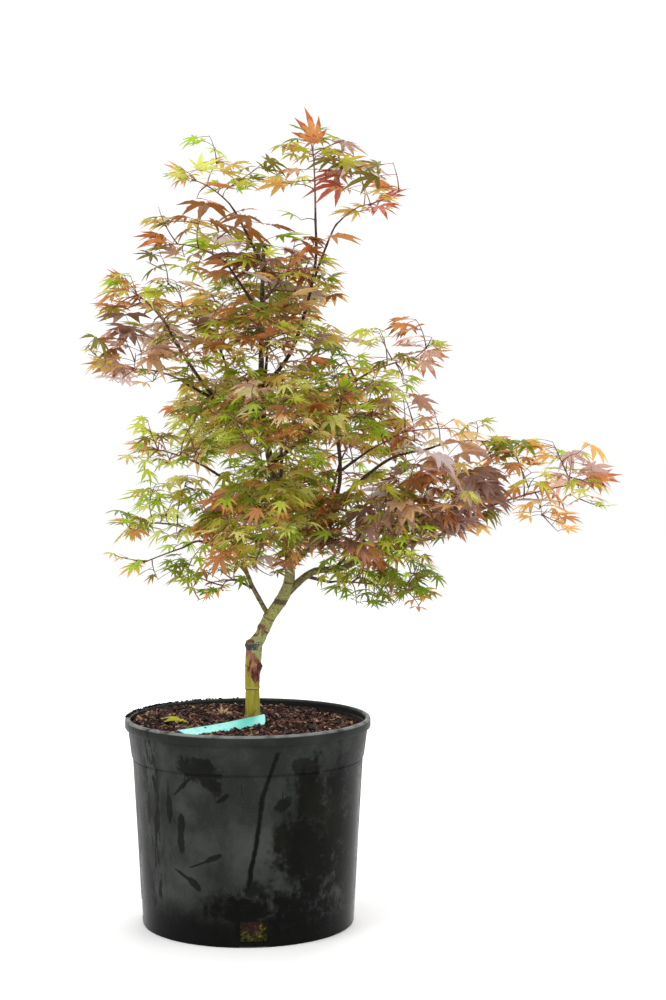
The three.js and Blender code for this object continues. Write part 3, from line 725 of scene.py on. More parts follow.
# masses of leaves: name, centre, radii, furthest point, kind of leaf, height of a stem on the trunk, twigs
masses = [
    ["leader", [78, -5, 852], [56, 54, 72], [72, -6, 930], "rust", None, 10],
    ["leader_side", [128, -18, 826], [60, 54, 54], [190, -20, 836], "crimson", None, 7],
    ["top_left", [-38, 10, 846], [64, 54, 52], [-100, 12, 868], "olive", None, 8],
    ["upper_left", [-52, -12, 780], [76, 62, 50], [-124, -14, 784], "rust", None, 12],
    ["core_top", [44, -6, 736], [74, 66, 56], [76, -56, 772], "rust", 706, 25],
    ["left_tip", [-108, -12, 712], [70, 62, 54], [-160, -14, 748], "rust", None, 12],
    ["left_upper", [-104, -44, 640], [82, 68, 46], [-184, -46, 642], "plum", None, 21],
    ["left_back", [-50, 66, 690], [70, 68, 56], [-90, 110, 720], "rust", None, 7],
    ["core_upper", [20, -30, 664], [70, 74, 50], [30, -100, 676], "rust", 640, 46],
    ["right_upper", [156, 0, 648], [82, 68, 54], [236, -6, 656], "rose", None, 12],
    ["right_rising", [102, -36, 596], [62, 70, 54], [112, -90, 630], "lime", None, 42],
    ["core_middle", [4, -30, 586], [70, 74, 52], [-30, -96, 600], "olive", 560, 54],
    ["right_inner", [178, -8, 562], [66, 66, 54], [214, -60, 580], "rose", None, 8],
    ["right_mid", [248, 6, 558], [64, 56, 46], [312, 6, 552], "olive", None, 3],
    ["left_middle", [-78, 8, 540], [68, 66, 50], [-142, 8, 552], "lime", None, 14],
    ["core_low", [38, -16, 500], [68, 70, 52], [70, -70, 520], "lime", 474, 62],
    ["low_left", [-84, -38, 470], [72, 66, 48], [-156, -40, 462], "lime", None, 25],
    ["left_low", [-104, 4, 418], [56, 54, 42], [-156, 4, 396], "lime", None, 3],
    ["under_left", [-34, -24, 404], [52, 52, 42], [-50, -66, 376], "lime", None, 11],
    ["front_middle", [40, -112, 566], [74, 60, 56], [40, -172, 560], "rust", None, 50],
    ["front_low", [22, -104, 456], [74, 62, 54], [10, -164, 440], "olive", None, 74],
    ["right_low", [136, -84, 460], [64, 62, 50], [136, -150, 440], "olive", None, 60],
    ["low_right", [216, -52, 484], [74, 62, 54], [280, -76, 490], "plum", None, 50],
    ["right_far", [344, 6, 500], [88, 58, 58], [432, 8, 512], "rust", None, 25],
    ["right_under", [148, -4, 392], [82, 60, 44], [230, -10, 374], "lime", None, 44],
    ["back_upper", [22, 98, 710], [72, 64, 60], [20, 160, 722], "rust", None, 42],
    ["back_middle", [-34, 112, 578], [74, 66, 58], [-50, 176, 580], "olive", None, 46],
    ["back_right", [112, 100, 548], [78, 66, 66], [130, 164, 560], "rust", None, 40],
    ["back_low", [30, 108, 458], [80, 66, 54], [20, 172, 446], "lime", None, 56],
]


def unit(vector):
    return vector / max(np.linalg.norm(vector), 1e-9)


class Route:
    # a smooth curve through points, read by the part of its length
    def __init__(self, points, dense=24):
        points = [np.array(point, float) for point in points]
        row = [2 * points[0] - points[1], *points, 2 * points[-1] - points[-2]]
        t = (np.arange(dense) / dense)[:, None]
        pieces = []
        for a, b, c, d in zip(row, row[1:], row[2:], row[3:]):
            start, end = (c - a) / 2, (d - b) / 2
            pieces.append(b + t * start + t ** 2 * (3 * (c - b) - 2 * start - end)
                          + t ** 3 * (2 * (b - c) + start + end))
        self.points = np.vstack([*pieces, points[-1][None]])
        spans = np.linalg.norm(np.diff(self.points, axis=0), axis=1)
        self.lengths = np.concatenate([[0], np.cumsum(spans)])
        self.length = self.lengths[-1]

    def at(self, part):
        place = part * self.length
        return np.array([np.interp(place, self.lengths, self.points[:, axis]) for axis in range(3)])

    def heading(self, part):
        return unit(self.at(min(1, part + 0.02)) - self.at(max(0, part - 0.02)))

    def spread(self, count):
        places = np.linspace(0, self.length, count)
        return np.stack([np.interp(places, self.lengths, self.points[:, axis]) for axis in range(3)], axis=1)


def arc(start, bend, end, steps=10):
    t = np.linspace(0, 1, steps + 1)[:, None]
    return Route((1 - t) ** 2 * start + 2 * t * (1 - t) * bend + t ** 2 * end, dense=2)


def spaceRadius(mass, direction):
    return 1 / np.linalg.norm(direction / mass["radii"])


trunkRoute = Route([[x, y, z] for z, x, y, _ in trunk["stations"]])
trunkHeights = [row[0] for row in trunk["stations"]]
trunkRadii = [row[3] for row in trunk["stations"]]


def trunkPoint(height):
    low, high = 0.0, 1.0
    for _ in range(30):
        middle = (low + high) / 2
        if trunkRoute.at(middle)[2] < height:
            low = middle
        else:
            high = middle
    return trunkRoute.at(low)


massRows = {name: {"name": name, "centre": np.array(centre, float), "radii": np.array(radii, float),
                   "tip": np.array(tip, float), "kind": kind, "at": at, "twigs": twigs}
            for name, centre, radii, tip, kind, at, twigs in masses}
massCentres = np.array([mass["centre"] for mass in massRows.values()])
massRadii = np.array([mass["radii"] for mass in massRows.values()])
limbs = {}
for name, carrier, at, radius, bends in boughs:
    mass = massRows[name]
    foot = trunkPoint(at) if carrier == "trunk" else limbs[carrier]["route"].at(at)
    points = [foot, *[np.array(bend, float) for bend in bends]]
    back = unit(points[-1] - mass["centre"])
    points.append(mass["centre"] + back * boughReach * spaceRadius(mass, back))
    limbs[name] = {"route": Route(points), "radius": radius}


class Wood:
    # tubes joined into one mesh
    def __init__(self):
        self.points, self.faces, self.tones = [], [], []

    def add(self, middles, radii, sides, tone=0, relief=None):
        start = sum(len(block) for block in self.points)
        headings = np.gradient(middles, axis=0)
        headings /= np.linalg.norm(headings, axis=1)[:, None]
        side = unit(np.cross(headings[0], [0.31, 0.94, 0.12]))  # no tube starts off that way
        turns = np.arange(sides) * 2 * math.pi / sides
        rings = []
        for middle, heading, radius in zip(middles, headings, radii):
            side = unit(side - heading * side.dot(heading))
            other = np.cross(heading, side)
            around = np.cos(turns)[:, None] * side + np.sin(turns)[:, None] * other
            ring = middle + around * radius
            if relief is not None:
                lifts = [relief(spot, way) for spot, way in zip(ring, around)]
                ring = ring + around * np.array(lifts)[:, None]
            rings.append(ring)
        self.points.append(np.vstack([*rings, middles[0][None], middles[-1][None]]))
        count = len(middles)
        first, last = start + count * sides, start + count * sides + 1
        for n in range(count - 1):
            for k in range(sides):
                a, b = start + n * sides + k, start + n * sides + (k + 1) % sides
                self.faces.append((a, b, b + sides, a + sides))
                self.tones.append(tone)
        for k in range(sides):
            following = (k + 1) % sides
            self.faces.append((first, start + following, start + k))
            top = start + (count - 1) * sides
            self.faces.append((last, top + k, top + following))
            self.tones.extend((tone, tone))

    def piece(self, name, materials):
        return meshPiece(name, np.vstack(self.points), self.faces, materials, self.tones, smooth=True)


def bell(value, middle, width):
    return math.exp(-((value - middle) / width) ** 2)


def trunkRelief(spot, way):
    x, y, z = spot
    across, along = trunk["grainScale"]
    grain = noise.noise(Vector((x * across, y * across, z * along)))
    pores = noise.noise(Vector((x, y, z)) * trunk["poreScale"])
    out = trunk["grain"] * (grain + trunk["pores"] * pores)
    level = z - way[2] * trunk["radius"]
    for height, lift, width in trunk["ringMarks"]:
        wavy = height + 0.9 * noise.noise(Vector((x * 0.2, y * 0.2, height)))
        out += lift * bell(level, wavy, width) - 0.3 * lift * bell(level, wavy - width * 2, width)
    low, high = trunk["scar"]
    torn = bell(z, (low + high) / 2, (high - low) * 0.45) * max(0, 0.5 + way[0] * 0.5 - way[1] * 0.4)
    across, along = trunk["tornScale"]
    fibre = noise.noise(Vector((x * across, y * across, z * along + 4)))
    out += torn * (trunk["torn"] * fibre + 0.5 * pores)
    for height, half, lift, facing in trunk["knots"]:
        toward = max(0, way[0] * facing[0] + way[1] * facing[1])
        out += lift * (1 + 0.8 * pores) * toward ** 2 * bell(z, height, half)
    return out


# colours and marks of the trunk's bark
trunkTones = {
    "stock": 0x9C9224,
    "stockFoot": 0x6E5A2A,
    "scion": 0xA8AC70,
    "middle": 0x9C9C50,
    "stem": 0x7C7648,
    "upper": 0x5E4E3A,
    "leader": 0x46352C,
    "top": 0x33241F,
    "grain": 0x564620,
    "pale": 0xBDBC80,
    "mottle": 0x8E8A68,
    "byHeight": [  # part of the way up, then the tone
        (0.0, "stockFoot"), (0.02, "stock"), (0.135, "stock"), (0.155, "scion"), (0.19, "scion"),
        (0.25, "middle"), (0.36, "stem"), (0.50, "upper"), (0.66, "leader"), (1.0, "top"),
    ],
    "fibre": [0x24140F, 0x743E2A, 0xC08C70],
    "pink": 0x96685C,
    "cap": [0x222327, 0x5A5C64],
    "ring": 0x3A2A1E,
    "lip": 0xC2B47A,
}
barkMarks = {  # metres: heights, and how far to the right
    "tones": [0.23, 0.78],
    "foot": [0.2400, 0.2480],
    "scionFrom": [0.312, 0.318],
    "tornFrom": [0.2690, 0.2720],
    "tornTo": [0.3118, 0.3130],
    "leftEdge": [0.0002, 0.0016],
    "leftEdgeTo": [0.300, 0.304],
    "leftTip": [0.0095, 1.3],  # where its lower edge starts to climb, and its slope
    "rightTip": [0.0034, 1.5],
    "pink": [0.298, 0.304, 0.312, 0.314],
    "knob": [0.0095, 0.0115, 0.2915],
    "cap": [0.3102, 0.3112, 0.3182, 0.3200],
    "capSide": [0.0092, 0.0108],
    "brokenSide": [0.015, 0.018],
    "crest": [0.3185, 0.3200, 0.3220, 0.3240],
    "crestSide": [0.0070, 0.0085],
    "worn": 0.3325,
    "wornSide": [0.0205, 0.0220],
    "scars": [  # height, half height, furthest to the right
        (0.3276, 0.0018, 0.0120), (0.3378, 0.0034, 0.0205), (0.3525, 0.0022, 0.0225),
    ],
    "rings": [  # height at x 0, slope, half width, from, to
        (0.2664, 0, 0.0003, -1, 1), (0.2926, 0, 0.0004, -1, 0.002), (0.3412, 0.47, 0.0010, 0.0180, 1),
        (0.3577, 0.47, 0.0005, 0.0180, 1), (0.3700, 0.1, 0.0019, 0.027, 1), (0.3950, 0.15, 0.0006, -1, 1),
        (0.4180, 0, 0.0006, -1, 1), (0.4520, 0, 0.0006, -1, 1),
    ],
    "lip": 0.2676,
}


def plainBark(finish, tones, x, z, tatter, grain):
    # yellow below the graft, pale and mottled above it, darker with height
    waver = (finish.noise(90, 4) - 0.5) * 0.006
    lean = (x - 0.004).math("MAXIMUM", 0).math("MINIMUM", 0.012) * 1.2
    low, high = barkMarks["tones"]
    height = finish.node("ShaderNodeMapRange", {"clamp": True}, [z + lean + waver, low, high, 0.0, 1.0])
    colour = finish.ramp(height, [(place, tones[name]) for place, name in trunkTones["byHeight"]])
    colour = finish.mix(finish.rise(grain, 0.46, 0.78) * 0.5, colour, tones["grain"])
    streak = finish.rise(finish.noise((190, 190, 26), 4), 0.50, 0.78)
    colour = finish.mix(streak * 0.4, colour, tones["pale"])
    foot = finish.fall(z + tatter * 0.6, *barkMarks["foot"]) * finish.rise(finish.noise(110, 3), 0.42, 0.56)
    colour = finish.mix(foot * 0.7, colour, tones["stockFoot"])
    scion = finish.rise(z + lean, *barkMarks["scionFrom"])
    mottle = finish.rise(finish.noise(230, 4, rough=0.65), 0.48, 0.60) * scion
    colour = finish.mix(mottle * 0.55, colour, tones["mottle"])
    speck = finish.rise(finish.noise(520, 3), 0.57, 0.62) * scion
    return finish.mix(speck * 0.65, colour, tones["ring"])


def tornPart(finish, x, z, ragged, tatter):
    # a tongue of torn bark, from its tip at the right up to the full width of the graft
    turn, slope = barkMarks["leftTip"]
    leftOf = (turn - x).math("MAXIMUM", 0) * slope
    turn, slope = barkMarks["rightTip"]
    rightOf = (x - turn).math("MAXIMUM", 0) * slope
    side = finish.rise(x + tatter * 0.35, *barkMarks["leftEdge"])
    side = side.math("MAXIMUM", finish.rise(z + tatter, *barkMarks["leftEdgeTo"]))
    torn = finish.rise(z - leftOf + tatter, *barkMarks["tornFrom"]) * side
    return torn * finish.fall(z + rightOf + ragged + tatter * 0.5, *barkMarks["tornTo"])


def trunkFinish():
    finish = Finish("trunkBark")
    tones = {name: linear(code) for name, code in trunkTones.items() if isinstance(code, int)}
    dark, middle, pale = (linear(code) for code in trunkTones["fibre"])
    x, _, z = finish.axes()
    ragged = (finish.noise(420, 3) - 0.5) * 0.006
    tatter = (finish.noise((330, 330, 75), 4, rough=0.65) - 0.5) * 0.034
    grain = finish.noise((420, 420, 42), 5, rough=0.7)
    colour = plainBark(finish, tones, x, z, tatter, grain)
    # the torn bark of the graft, pink at its top, and the dark knob beside it
    torn = tornPart(finish, x, z, ragged, tatter)
    fibre = finish.noise((330, 330, 90), 5, rough=0.75, warp=0.6)
    bark = finish.ramp(fibre, [(0.38, dark), (0.50, middle), (0.66, pale)])
    low, full, fades, ends = barkMarks["pink"]
    pink = finish.rise(z, low, full) * finish.fall(z, fades, ends)
    colour = finish.mix(torn, colour, finish.mix(pink * 0.6, bark, tones["pink"]))
    inner, outer, level = barkMarks["knob"]
    knob = finish.rise(x + ragged, inner, outer) * finish.within(z + tatter * 0.2, level, 0.003, 0.0055)
    colour = finish.mix(knob * 0.8, colour, dark)
    # the sealed cut, broken at its right end, and the brown crest over it
    low, full, fades, ends = barkMarks["cap"]
    capped = finish.rise(z + ragged * 2.2, low, full) * finish.fall(z + ragged * 2, fades, ends)
    broken = finish.rise(finish.noise(300, 3), 0.46, 0.54) * finish.fall(x, *barkMarks["brokenSide"])
    capped = capped * finish.fall(x + ragged * 2.4, *barkMarks["capSide"]).math("MAXIMUM", broken)
    sealed = finish.mix(finish.noise(220, 4), *(linear(code) for code in trunkTones["cap"]))
    colour = finish.mix(capped, colour, sealed)
    low, full, fades, ends = barkMarks["crest"]
    crest = finish.rise(z + ragged, low, full) * finish.fall(x + ragged, *barkMarks["crestSide"])
    colour = finish.mix(crest * finish.fall(z, fades, ends), colour, bark)
    # worn bark, scars of old twigs and growth rings
    worn = finish.within(z + ragged, barkMarks["worn"], 0.003, 0.006)
    worn = worn * finish.fall(x + ragged, *barkMarks["wornSide"])
    worn = worn * finish.rise(finish.noise(340, 4), 0.44, 0.54)
    colour = finish.mix(worn * 0.65, colour, middle)
    for level, half, side in barkMarks["scars"]:
        scar = finish.within(z + ragged, level, half * 0.6, half * 1.1)
        scar = scar * finish.fall(x + ragged * 1.5, side - 0.001, side + 0.001)
        colour = finish.mix(scar * 0.85, colour, bark)
    for level, slope, half, start, end in barkMarks["rings"]:
        line = finish.within(z + x * slope + ragged * 0.6, level, half, half * 2)
        line = line * finish.rise(x, start, start + 0.001) * finish.fall(x, end, end + 0.001)
        colour = finish.mix(line * 0.8, colour, tones["ring"])
    lip = finish.within(z + ragged * 0.4, barkMarks["lip"], 0.0005, 0.0010)
    colour = finish.mix(lip * 0.6, colour, tones["lip"])
    relief = grain + finish.noise(700, 3) * 0.5 + fibre * torn
    return finish.close(finish.plain(colour, 0.72, 0.3, finish.bump(relief, 0.5, 0.0008)))


def woodFinish(name, pale, dark, roughness):
    finish = Finish(name)
    grain = finish.noise(380, 4, rough=0.65)
    colour = finish.mix(finish.rise(grain, 0.38, 0.62), linear(dark), linear(pale))
    return finish.close(finish.plain(colour, roughness, 0.35, finish.bump(grain, 0.4, 0.0005)))


def makeTrunk():
    wood = Wood()
    middles = trunkRoute.spread(int(trunkRoute.length / trunk["step"]))
    middles[0][2] = trunk["stations"][0][0]  # the flat cut at its foot
    radii = np.interp(middles[:, 2], trunkHeights, trunkRadii)
    wood.add(middles, radii, trunk["sides"], relief=trunkRelief)
    stub = Route([place for *place, _ in trunk["stub"]])
    middles = stub.spread(trunk["stubRings"])
    radii = np.interp(middles[:, 2], [row[2] for row in trunk["stub"]], [row[3] for row in trunk["stub"]])
    wood.add(middles, radii, trunk["sides"], relief=trunkRelief)
    return wood.piece("trunkBark", [trunkFinish()])


dressPiece(makeTrunk(), "trunk_bark", "trunk")
print("trunk ready")

boughShape = {
    "sides": 12,
    "step": 2.4,
    "knotEvery": 26,
    "knot": 0.28,
    "knotLength": 1.8,
    "grain": 0.12,
    "grainScale": 0.6,
    "oliveBelow": 425,  # height, for limbs thicker than the next
    "oliveFrom": 2.6,
    "brownBelow": 560,
    "barks": [  # name, pale and dark tone, roughness
        ("boughOliveBark", 0x7E7848, 0x4E422C, 0.75),
        ("boughBrownBark", 0x5A4434, 0x36271F, 0.7),
        ("boughDarkBark", 0x4A332B, 0x2B1C1A, 0.65),
    ],
}


def boughRadii(route, foot, tip, count):
    parts = np.linspace(0, 1, count)
    radii = foot + (tip - foot) * parts
    knots = max(1, round(route.length / boughShape["knotEvery"]))
    for knot in range(1, knots + 1):
        at = knot / (knots + 0.4)
        along = (parts - at) * route.length / boughShape["knotLength"]
        radii = radii + boughShape["knot"] * np.exp(-along ** 2)
    return radii


def boughRelief(spot, _):
    return boughShape["grain"] * noise.noise(Vector([value * boughShape["grainScale"] for value in spot]))


def makeBoughs():
    wood = Wood()
    for limb in limbs.values():
        route, radius = limb["route"], limb["radius"]
        count = int(route.length / boughShape["step"])
        middle = route.at(0.5)[2]
        tone = 1 if middle < boughShape["brownBelow"] else 2
        if middle < boughShape["oliveBelow"] and radius > boughShape["oliveFrom"]:
            tone = 0
        wood.add(route.spread(count), boughRadii(route, radius, radius * boughTaper, count),
                 boughShape["sides"], tone, boughRelief)
    return wood.piece("boughBark", [woodFinish(*row) for row in boughShape["barks"]])


dressPiece(makeBoughs(), "bough_bark", *[f"{name}_bough" for name in limbs])
print("boughs ready")

# how each mass grows: as the solids do, carried on to finer twigs
growth = {
    "stemFoot": 2.2,
    "stemRings": 12,
    "stemTip": 0.65,
    "reach": 0.985,
    "fill": 0.97,
    "nodes": [0.1, 0.22, 0.36, 0.5, 0.64, 0.78, 0.9],
    "nodeCost": 7,  # what a twig of a twig has to be nearer by
    "outerBough": [40, 22],  # the bough cut in so many, and the cut from which it bears twigs
    "shortest": 12,
    "longest": 66,
    "tries": 900,
    "forward": -0.05,
    "bend": [0.13, 0.42],  # how far a twig's bend lies along its bearer and on its own way
    "arch": [-1.5, 3.5],
    "twigFoot": 0.56,
    "twigThickens": 0.008,
    "twigTip": 0.32,
    "thickest": 1.5,
    "sides": {"stem": 7, "twig": 5, "stalk": 3},
    "pairStep": 13,
    "firstPair": 0.98,
    "pairsFrom": 0.25,
    "pairGap": 1.5,
    "endLeaf": 0.6,
    "outward": 0.35,
    "stalk": [0.42, 0.86],
    "stalkArch": [0.5, 2.5],
    "stalkRadius": 0.4,
}
# how leaves are set on twigs
leafing = {
    "tries": 8,
    "wander": 9,  # degrees more at each try
    "shrink": 0.02,
    "spread": 56,
    "spreadVaries": [-14, 10],
    "heights": [400, 820],
    "pitchLow": [-54, 4],  # at the two heights
    "pitchHigh": [-22, 24],
    "larger": [0.96, 1.4],
    "sizes": [0.66, 1.12],
    "inwards": 0.66,
    "outwards": 0.42,
    "stalkRise": [-14, 34],
    "roll": 27,
    "room": 6,  # the nearest that the middles of two leaves come
    "most": 12000,
    # the leaf at the tip of a mass: its size, then places along it from its stem's end, and its roll
    "lead": {"size": 1.12, "back": 1.3, "heart": 0.3, "middle": 0.7, "roll": 0.38},
}
kinds = {  # leaf length from heart to tip, width of its lobes, part of the outermost lobes
    "lime": (25, 0.66, 0.40), "olive": (27, 0.74, 0.38), "rust": (31, 0.92, 0.28),
    "rose": (31, 0.9, 0.28), "plum": (41, 1.0, 0.34), "crimson": (35, 0.92, 0.26),
}
leafTones = {  # dark to pale, then the tint of the lobes' ends
    "lime": [0x788E1E, 0xA4BE30, 0xC4CC4C, 0xD0D472, 0xD89C4E],
    "olive": [0x7C762A, 0xACAA38, 0xC6AA52, 0xCEC872, 0xC6884A],
    "rust": [0x96602E, 0xC48650, 0xDCAE60, 0xDEC088, 0xAE6238],
    "rose": [0xAE866E, 0xCFA896, 0xDCC4B4, 0xDCD0A2, 0xBC7C66],
    # plum's pale tone is partly the leaves' own colour, partly a painted sheen
    "plum": [0x8E6C5E, 0xBE9E94, 0xD8C8C6, 0xCCA67E, 0xAC7254],
    "crimson": [0xA85442, 0xD08674, 0xE2B2A0, 0xDCB278, 0xB2543E],
}
# by height: how often a spray gets each of the first four tones; the low sprays get mostly the dark ones, a
# painted shade
toneWeights = [
    [430, [6, 3, 0.8, 0.2]],
    [490, [2.6, 3.4, 2.2, 1.2]],
    [560, [2, 3, 3, 2]],
    [700, [2, 3, 3, 2]],
    [800, [3.6, 3, 2, 0.8]],
]
tintedEnds = [0.45, 2.2]  # how often the lobes' ends differ, and the weight of the end tint
# which kinds of tint a mass's sprays are dealt, with weights
dealtTints = {
    "lime": [["lime", 6], ["olive", 3], ["rust", 1.4]],
    "olive": [["olive", 3.6], ["lime", 3.8], ["rust", 2.2], ["plum", 0.5]],
    "rust": [["rust", 3.4], ["olive", 3], ["lime", 2.6], ["rose", 0.5], ["plum", 0.6]],
    "rose": [["rose", 2.6], ["rust", 1.2], ["olive", 1], ["lime", 4.4]],
    "plum": [["plum", 5], ["rust", 2.2], ["rose", 1.8], ["olive", 1.2], ["lime", 1.4]],
    "crimson": [["crimson", 3], ["rust", 3], ["olive", 1.4], ["rose", 1.6]],
}
# how shaded a spray is: by its distance from the crown's axis and by its height
shading = {
    "axis": [40, 0],
    "distance": [70, 175],
    "height": [380, 540, 640, 770],
    "byHeight": [0.1, 1, 1, 0],
    "greener": {"lime": 1.3, "olive": 0.5, "rust": -0.6, "rose": -0.4},
    "smaller": 0.18,
}
leafForm = {
    "lobes": [  # angle and length of each; 0: set by the leaf's kind
        [0, 1.0], [36, 0.92], [-36, 0.92], [74, 0.70], [-74, 0.70], [118, 0], [-118, 0],
    ],
    "lengths": [0.9, 1.08],  # how much the lobes of a leaf differ
    "turns": [-5, 5],
    "hangs": [0.7, 1.4],
    "edge": [[0.44, 0.136], [0.50, 0.116], [0.66, 0.112], [0.72, 0.080]],
    "midrib": [0.34, 0.64],
    "notch": 0.30,
    "base": 0.14,
    "baseTurn": 0.62,
    "fold": [0.12, 0.74],
    "notchFold": 0.13,
    "droop": [-0.04, 0.32],
    "sway": 0.12,
    "glow": 1.26,  # how much stronger the light is that comes through
}


def leafFinish(name, colour):
    finish = Finish(name)
    veins = finish.noise(520, 3, rough=0.6)
    face = finish.plain(colour, 0.4, 0.5, finish.bump(veins, 0.25, 0.0003))
    glow = tuple(min(1.0, part * leafForm["glow"]) for part in colour)
    through = finish.node("ShaderNodeBsdfTranslucent", inputs={"Color": glow})
    return finish.close(finish.node("ShaderNodeMixShader", inputs=[0.5, face, through]))


def leafFaces():
    # corners: heart, then those of each lobe, then the notches between lobes, the two at the stalk last
    count, lobes = lobeCorners, len(leafForm["lobes"])
    faces, ends = [], []
    for n in range(lobes):
        m1, m2, tip = (1 + count * n + k for k in range(3))
        left = [4 + count * n + k for k in range(4)]
        right = [8 + count * n + k for k in range(4)]
        notchRight, notchLeft = 1 + count * lobes + n, 2 + count * lobes + n
        faces += [(0, m1, left[0], notchLeft), (m1, m2, left[1], left[0]), (m2, left[2], left[1]),
                  (m2, tip, left[3], left[2]), (0, notchRight, right[0], m1), (m1, right[0], right[1], m2),
                  (m2, right[1], right[2]), (m2, right[2], right[3], tip)]
        ends += [0, 0, 1, 1, 0, 0, 1, 1]
    return faces, ends


lobeCorners = 3 + 2 * len(leafForm["edge"])
leafLobes = sorted(leafForm["lobes"])
leafFaceRows, leafEnds = leafFaces()


def leafCorners(draw, length, width=1.0, outermost=0.36):
    # one leaf lying flat, its heart at the origin and its middle lobe along X
    fold = draw(*leafForm["fold"])
    droop = draw(*leafForm["droop"])
    lengths, angles, corners = [], [], [(0.0, 0.0, 0.0)]
    for angle, part in leafLobes:
        lengths.append(length * (part or outermost) * draw(*leafForm["lengths"]))
        angles.append(math.radians(angle + draw(*leafForm["turns"])))
    for angle, long in zip(angles, lengths):
        along, across = (math.cos(angle), math.sin(angle)), (-math.sin(angle), math.cos(angle))
        sway = draw(-leafForm["sway"], leafForm["sway"])
        hang = droop * draw(*leafForm["hangs"])
        rows = [(leafForm["midrib"][0], 0), (leafForm["midrib"][1], 0), (1, 0)]
        rows += [(t, s * width) for t, s in leafForm["edge"]] + [(t, -s * width) for t, s in leafForm["edge"]]
        for t, s in rows:
            aside = (s + sway * t * t) * long
            corners.append((along[0] * t * long + across[0] * aside, along[1] * t * long + across[1] * aside,
                            (fold * abs(s) - hang * t * t) * long))
    notches = [(angles[0] - leafForm["baseTurn"], length * leafForm["base"])]
    notches += [((a + b) / 2, (p + q) / 2 * leafForm["notch"]) for a, b, p, q in
                zip(angles, angles[1:], lengths, lengths[1:])]
    notches.append((angles[-1] + leafForm["baseTurn"], length * leafForm["base"]))
    for angle, out in notches:
        corners.append((out * math.cos(angle), out * math.sin(angle), fold * leafForm["notchFold"] * out))
    return np.array(corners)


def leafBasis(out, roll):
    side = unit(np.cross([0, 0, 1.0], out))
    normal = np.cross(out, side)
    turnedSide = side * math.cos(roll) + normal * math.sin(roll)
    turnedNormal = normal * math.cos(roll) - side * math.sin(roll)
    return np.stack([out, turnedSide, turnedNormal])


class Foliage:
    # leaves of each kind of tint, gathered for one mesh to a kind
    def __init__(self):
        self.points = {kind: [] for kind in kinds}
        self.tones = {kind: [] for kind in kinds}
        self.middles = np.zeros((leafing["most"], 3))
        self.count = 0

    def hold(self, middle):
        self.middles[self.count] = middle
        self.count += 1

    def crowded(self, middle):
        gaps = np.linalg.norm(self.middles[:self.count] - middle, axis=1)
        return self.count > 0 and gaps.min() < leafing["room"]

    def add(self, tint, heart, out, roll, corners):
        kind, face, end = tint
        self.points[kind].append(heart + corners @ leafBasis(out, roll))
        self.tones[kind].extend([end if atEnd else face for atEnd in leafEnds])

    def piece(self, kind):
        count = len(self.points[kind][0])
        faces = [tuple(corner + count * n for corner in face)
                 for n in range(len(self.points[kind])) for face in leafFaceRows]
        finishes = [leafFinish(f"{kind}Leaf{n}", linear(code)) for n, code in enumerate(leafTones[kind])]
        return meshPiece(f"{kind}Leaves", np.vstack(self.points[kind]), faces, finishes, self.tones[kind])


def turnAbout(vector, angle):
    c, s = math.cos(angle), math.sin(angle)
    return np.array([vector[0] * c - vector[1] * s, vector[0] * s + vector[1] * c, vector[2]])


def raised(flat, angle):
    # a level heading, tipped up by an angle
    return np.array([flat[0] * math.cos(angle), flat[1] * math.cos(angle), math.sin(angle)])


foliage = Foliage()
twigWood = Wood()
stalkWood = Wood()


def insideCrown(spot, part=1.0):
    return np.linalg.norm((spot - massCentres) / massRadii, axis=1).min() <= part


def addStalk(points):
    stalkWood.add(points, [growth["stalkRadius"]] * len(points), growth["sides"]["stalk"])


def addLeaf(mass, draw, root, way, tint, spreadTurn):
    far = np.linalg.norm((root - mass["centre"]) / mass["radii"])
    long, width, outermost = kinds[tint[0]]
    upper = np.interp(root[2], leafing["heights"], [0, 1])
    lowest, highest = (a + (b - a) * upper for a, b in zip(leafing["pitchLow"], leafing["pitchHigh"]))
    byPlace = np.interp(root[2], leafing["heights"], leafing["larger"])
    byPlace *= 1 - shading["smaller"] * shadeDepth(root)
    for attempt in range(leafing["tries"]):
        wander = math.radians(leafing["wander"] * (attempt + 1))
        flat = turnAbout(way, spreadTurn + draw(-wander, wander))
        flat = unit(np.array([flat[0], flat[1], 0.0]))
        out = raised(flat, math.radians(draw(lowest, highest)))
        length = long * draw(*leafing["sizes"]) * (leafing["inwards"] + leafing["outwards"] * min(far, 1))
        length = length * (1 - leafing["shrink"] * attempt) * byPlace
        lift = raised(flat, math.radians(draw(*leafing["stalkRise"])))
        heart = root + lift * length * draw(*growth["stalk"])
        middle = heart + out * length * 0.4
        if not insideCrown(heart + out * length * 0.97) or not insideCrown(middle, 0.97):
            continue
        if foliage.crowded(middle):  # too near another leaf
            continue
        foliage.hold(middle)
        roll = math.radians(draw(-leafing["roll"], leafing["roll"]))
        foliage.add(tint, heart, out, roll, leafCorners(draw, length, width, outermost))
        bend = (root + heart) / 2 + np.array([0, 0, draw(*growth["stalkArch"])])
        addStalk(arc(root, bend, heart, 4).spread(5))
        return True
    return False


def shadeDepth(spot):
    # 1 in the shaded middle of the crown, 0 on its outside and in its top
    out = math.hypot(spot[0] - shading["axis"][0], spot[1] - shading["axis"][1])
    inwards = np.interp(out, shading["distance"], [1, 0])
    return inwards * np.interp(spot[2], shading["height"], shading["byHeight"])


def springTint(draw, mass, height, deep):
    # the tint of one spray: its kind, its tone and the tone of its lobes' ends
    tints = dealtTints[mass["kind"]]
    green = shading["greener"]
    kind = tints[dealt(draw, [weight * (1 + deep * green.get(name, 0)) for name, weight in tints])][0]
    levels = [level for level, _ in toneWeights]
    byTone = zip(*(weights for _, weights in toneWeights))
    face = dealt(draw, [np.interp(height, levels, weights) for weights in byTone])
    often, endWeight = tintedEnds
    plainTones = len(leafTones[kind]) - 1
    return kind, face, dealt(draw, [1] * plainTones + [endWeight]) if draw() < often else face


def leadTint(mass):
    return mass["kind"], 1, 4


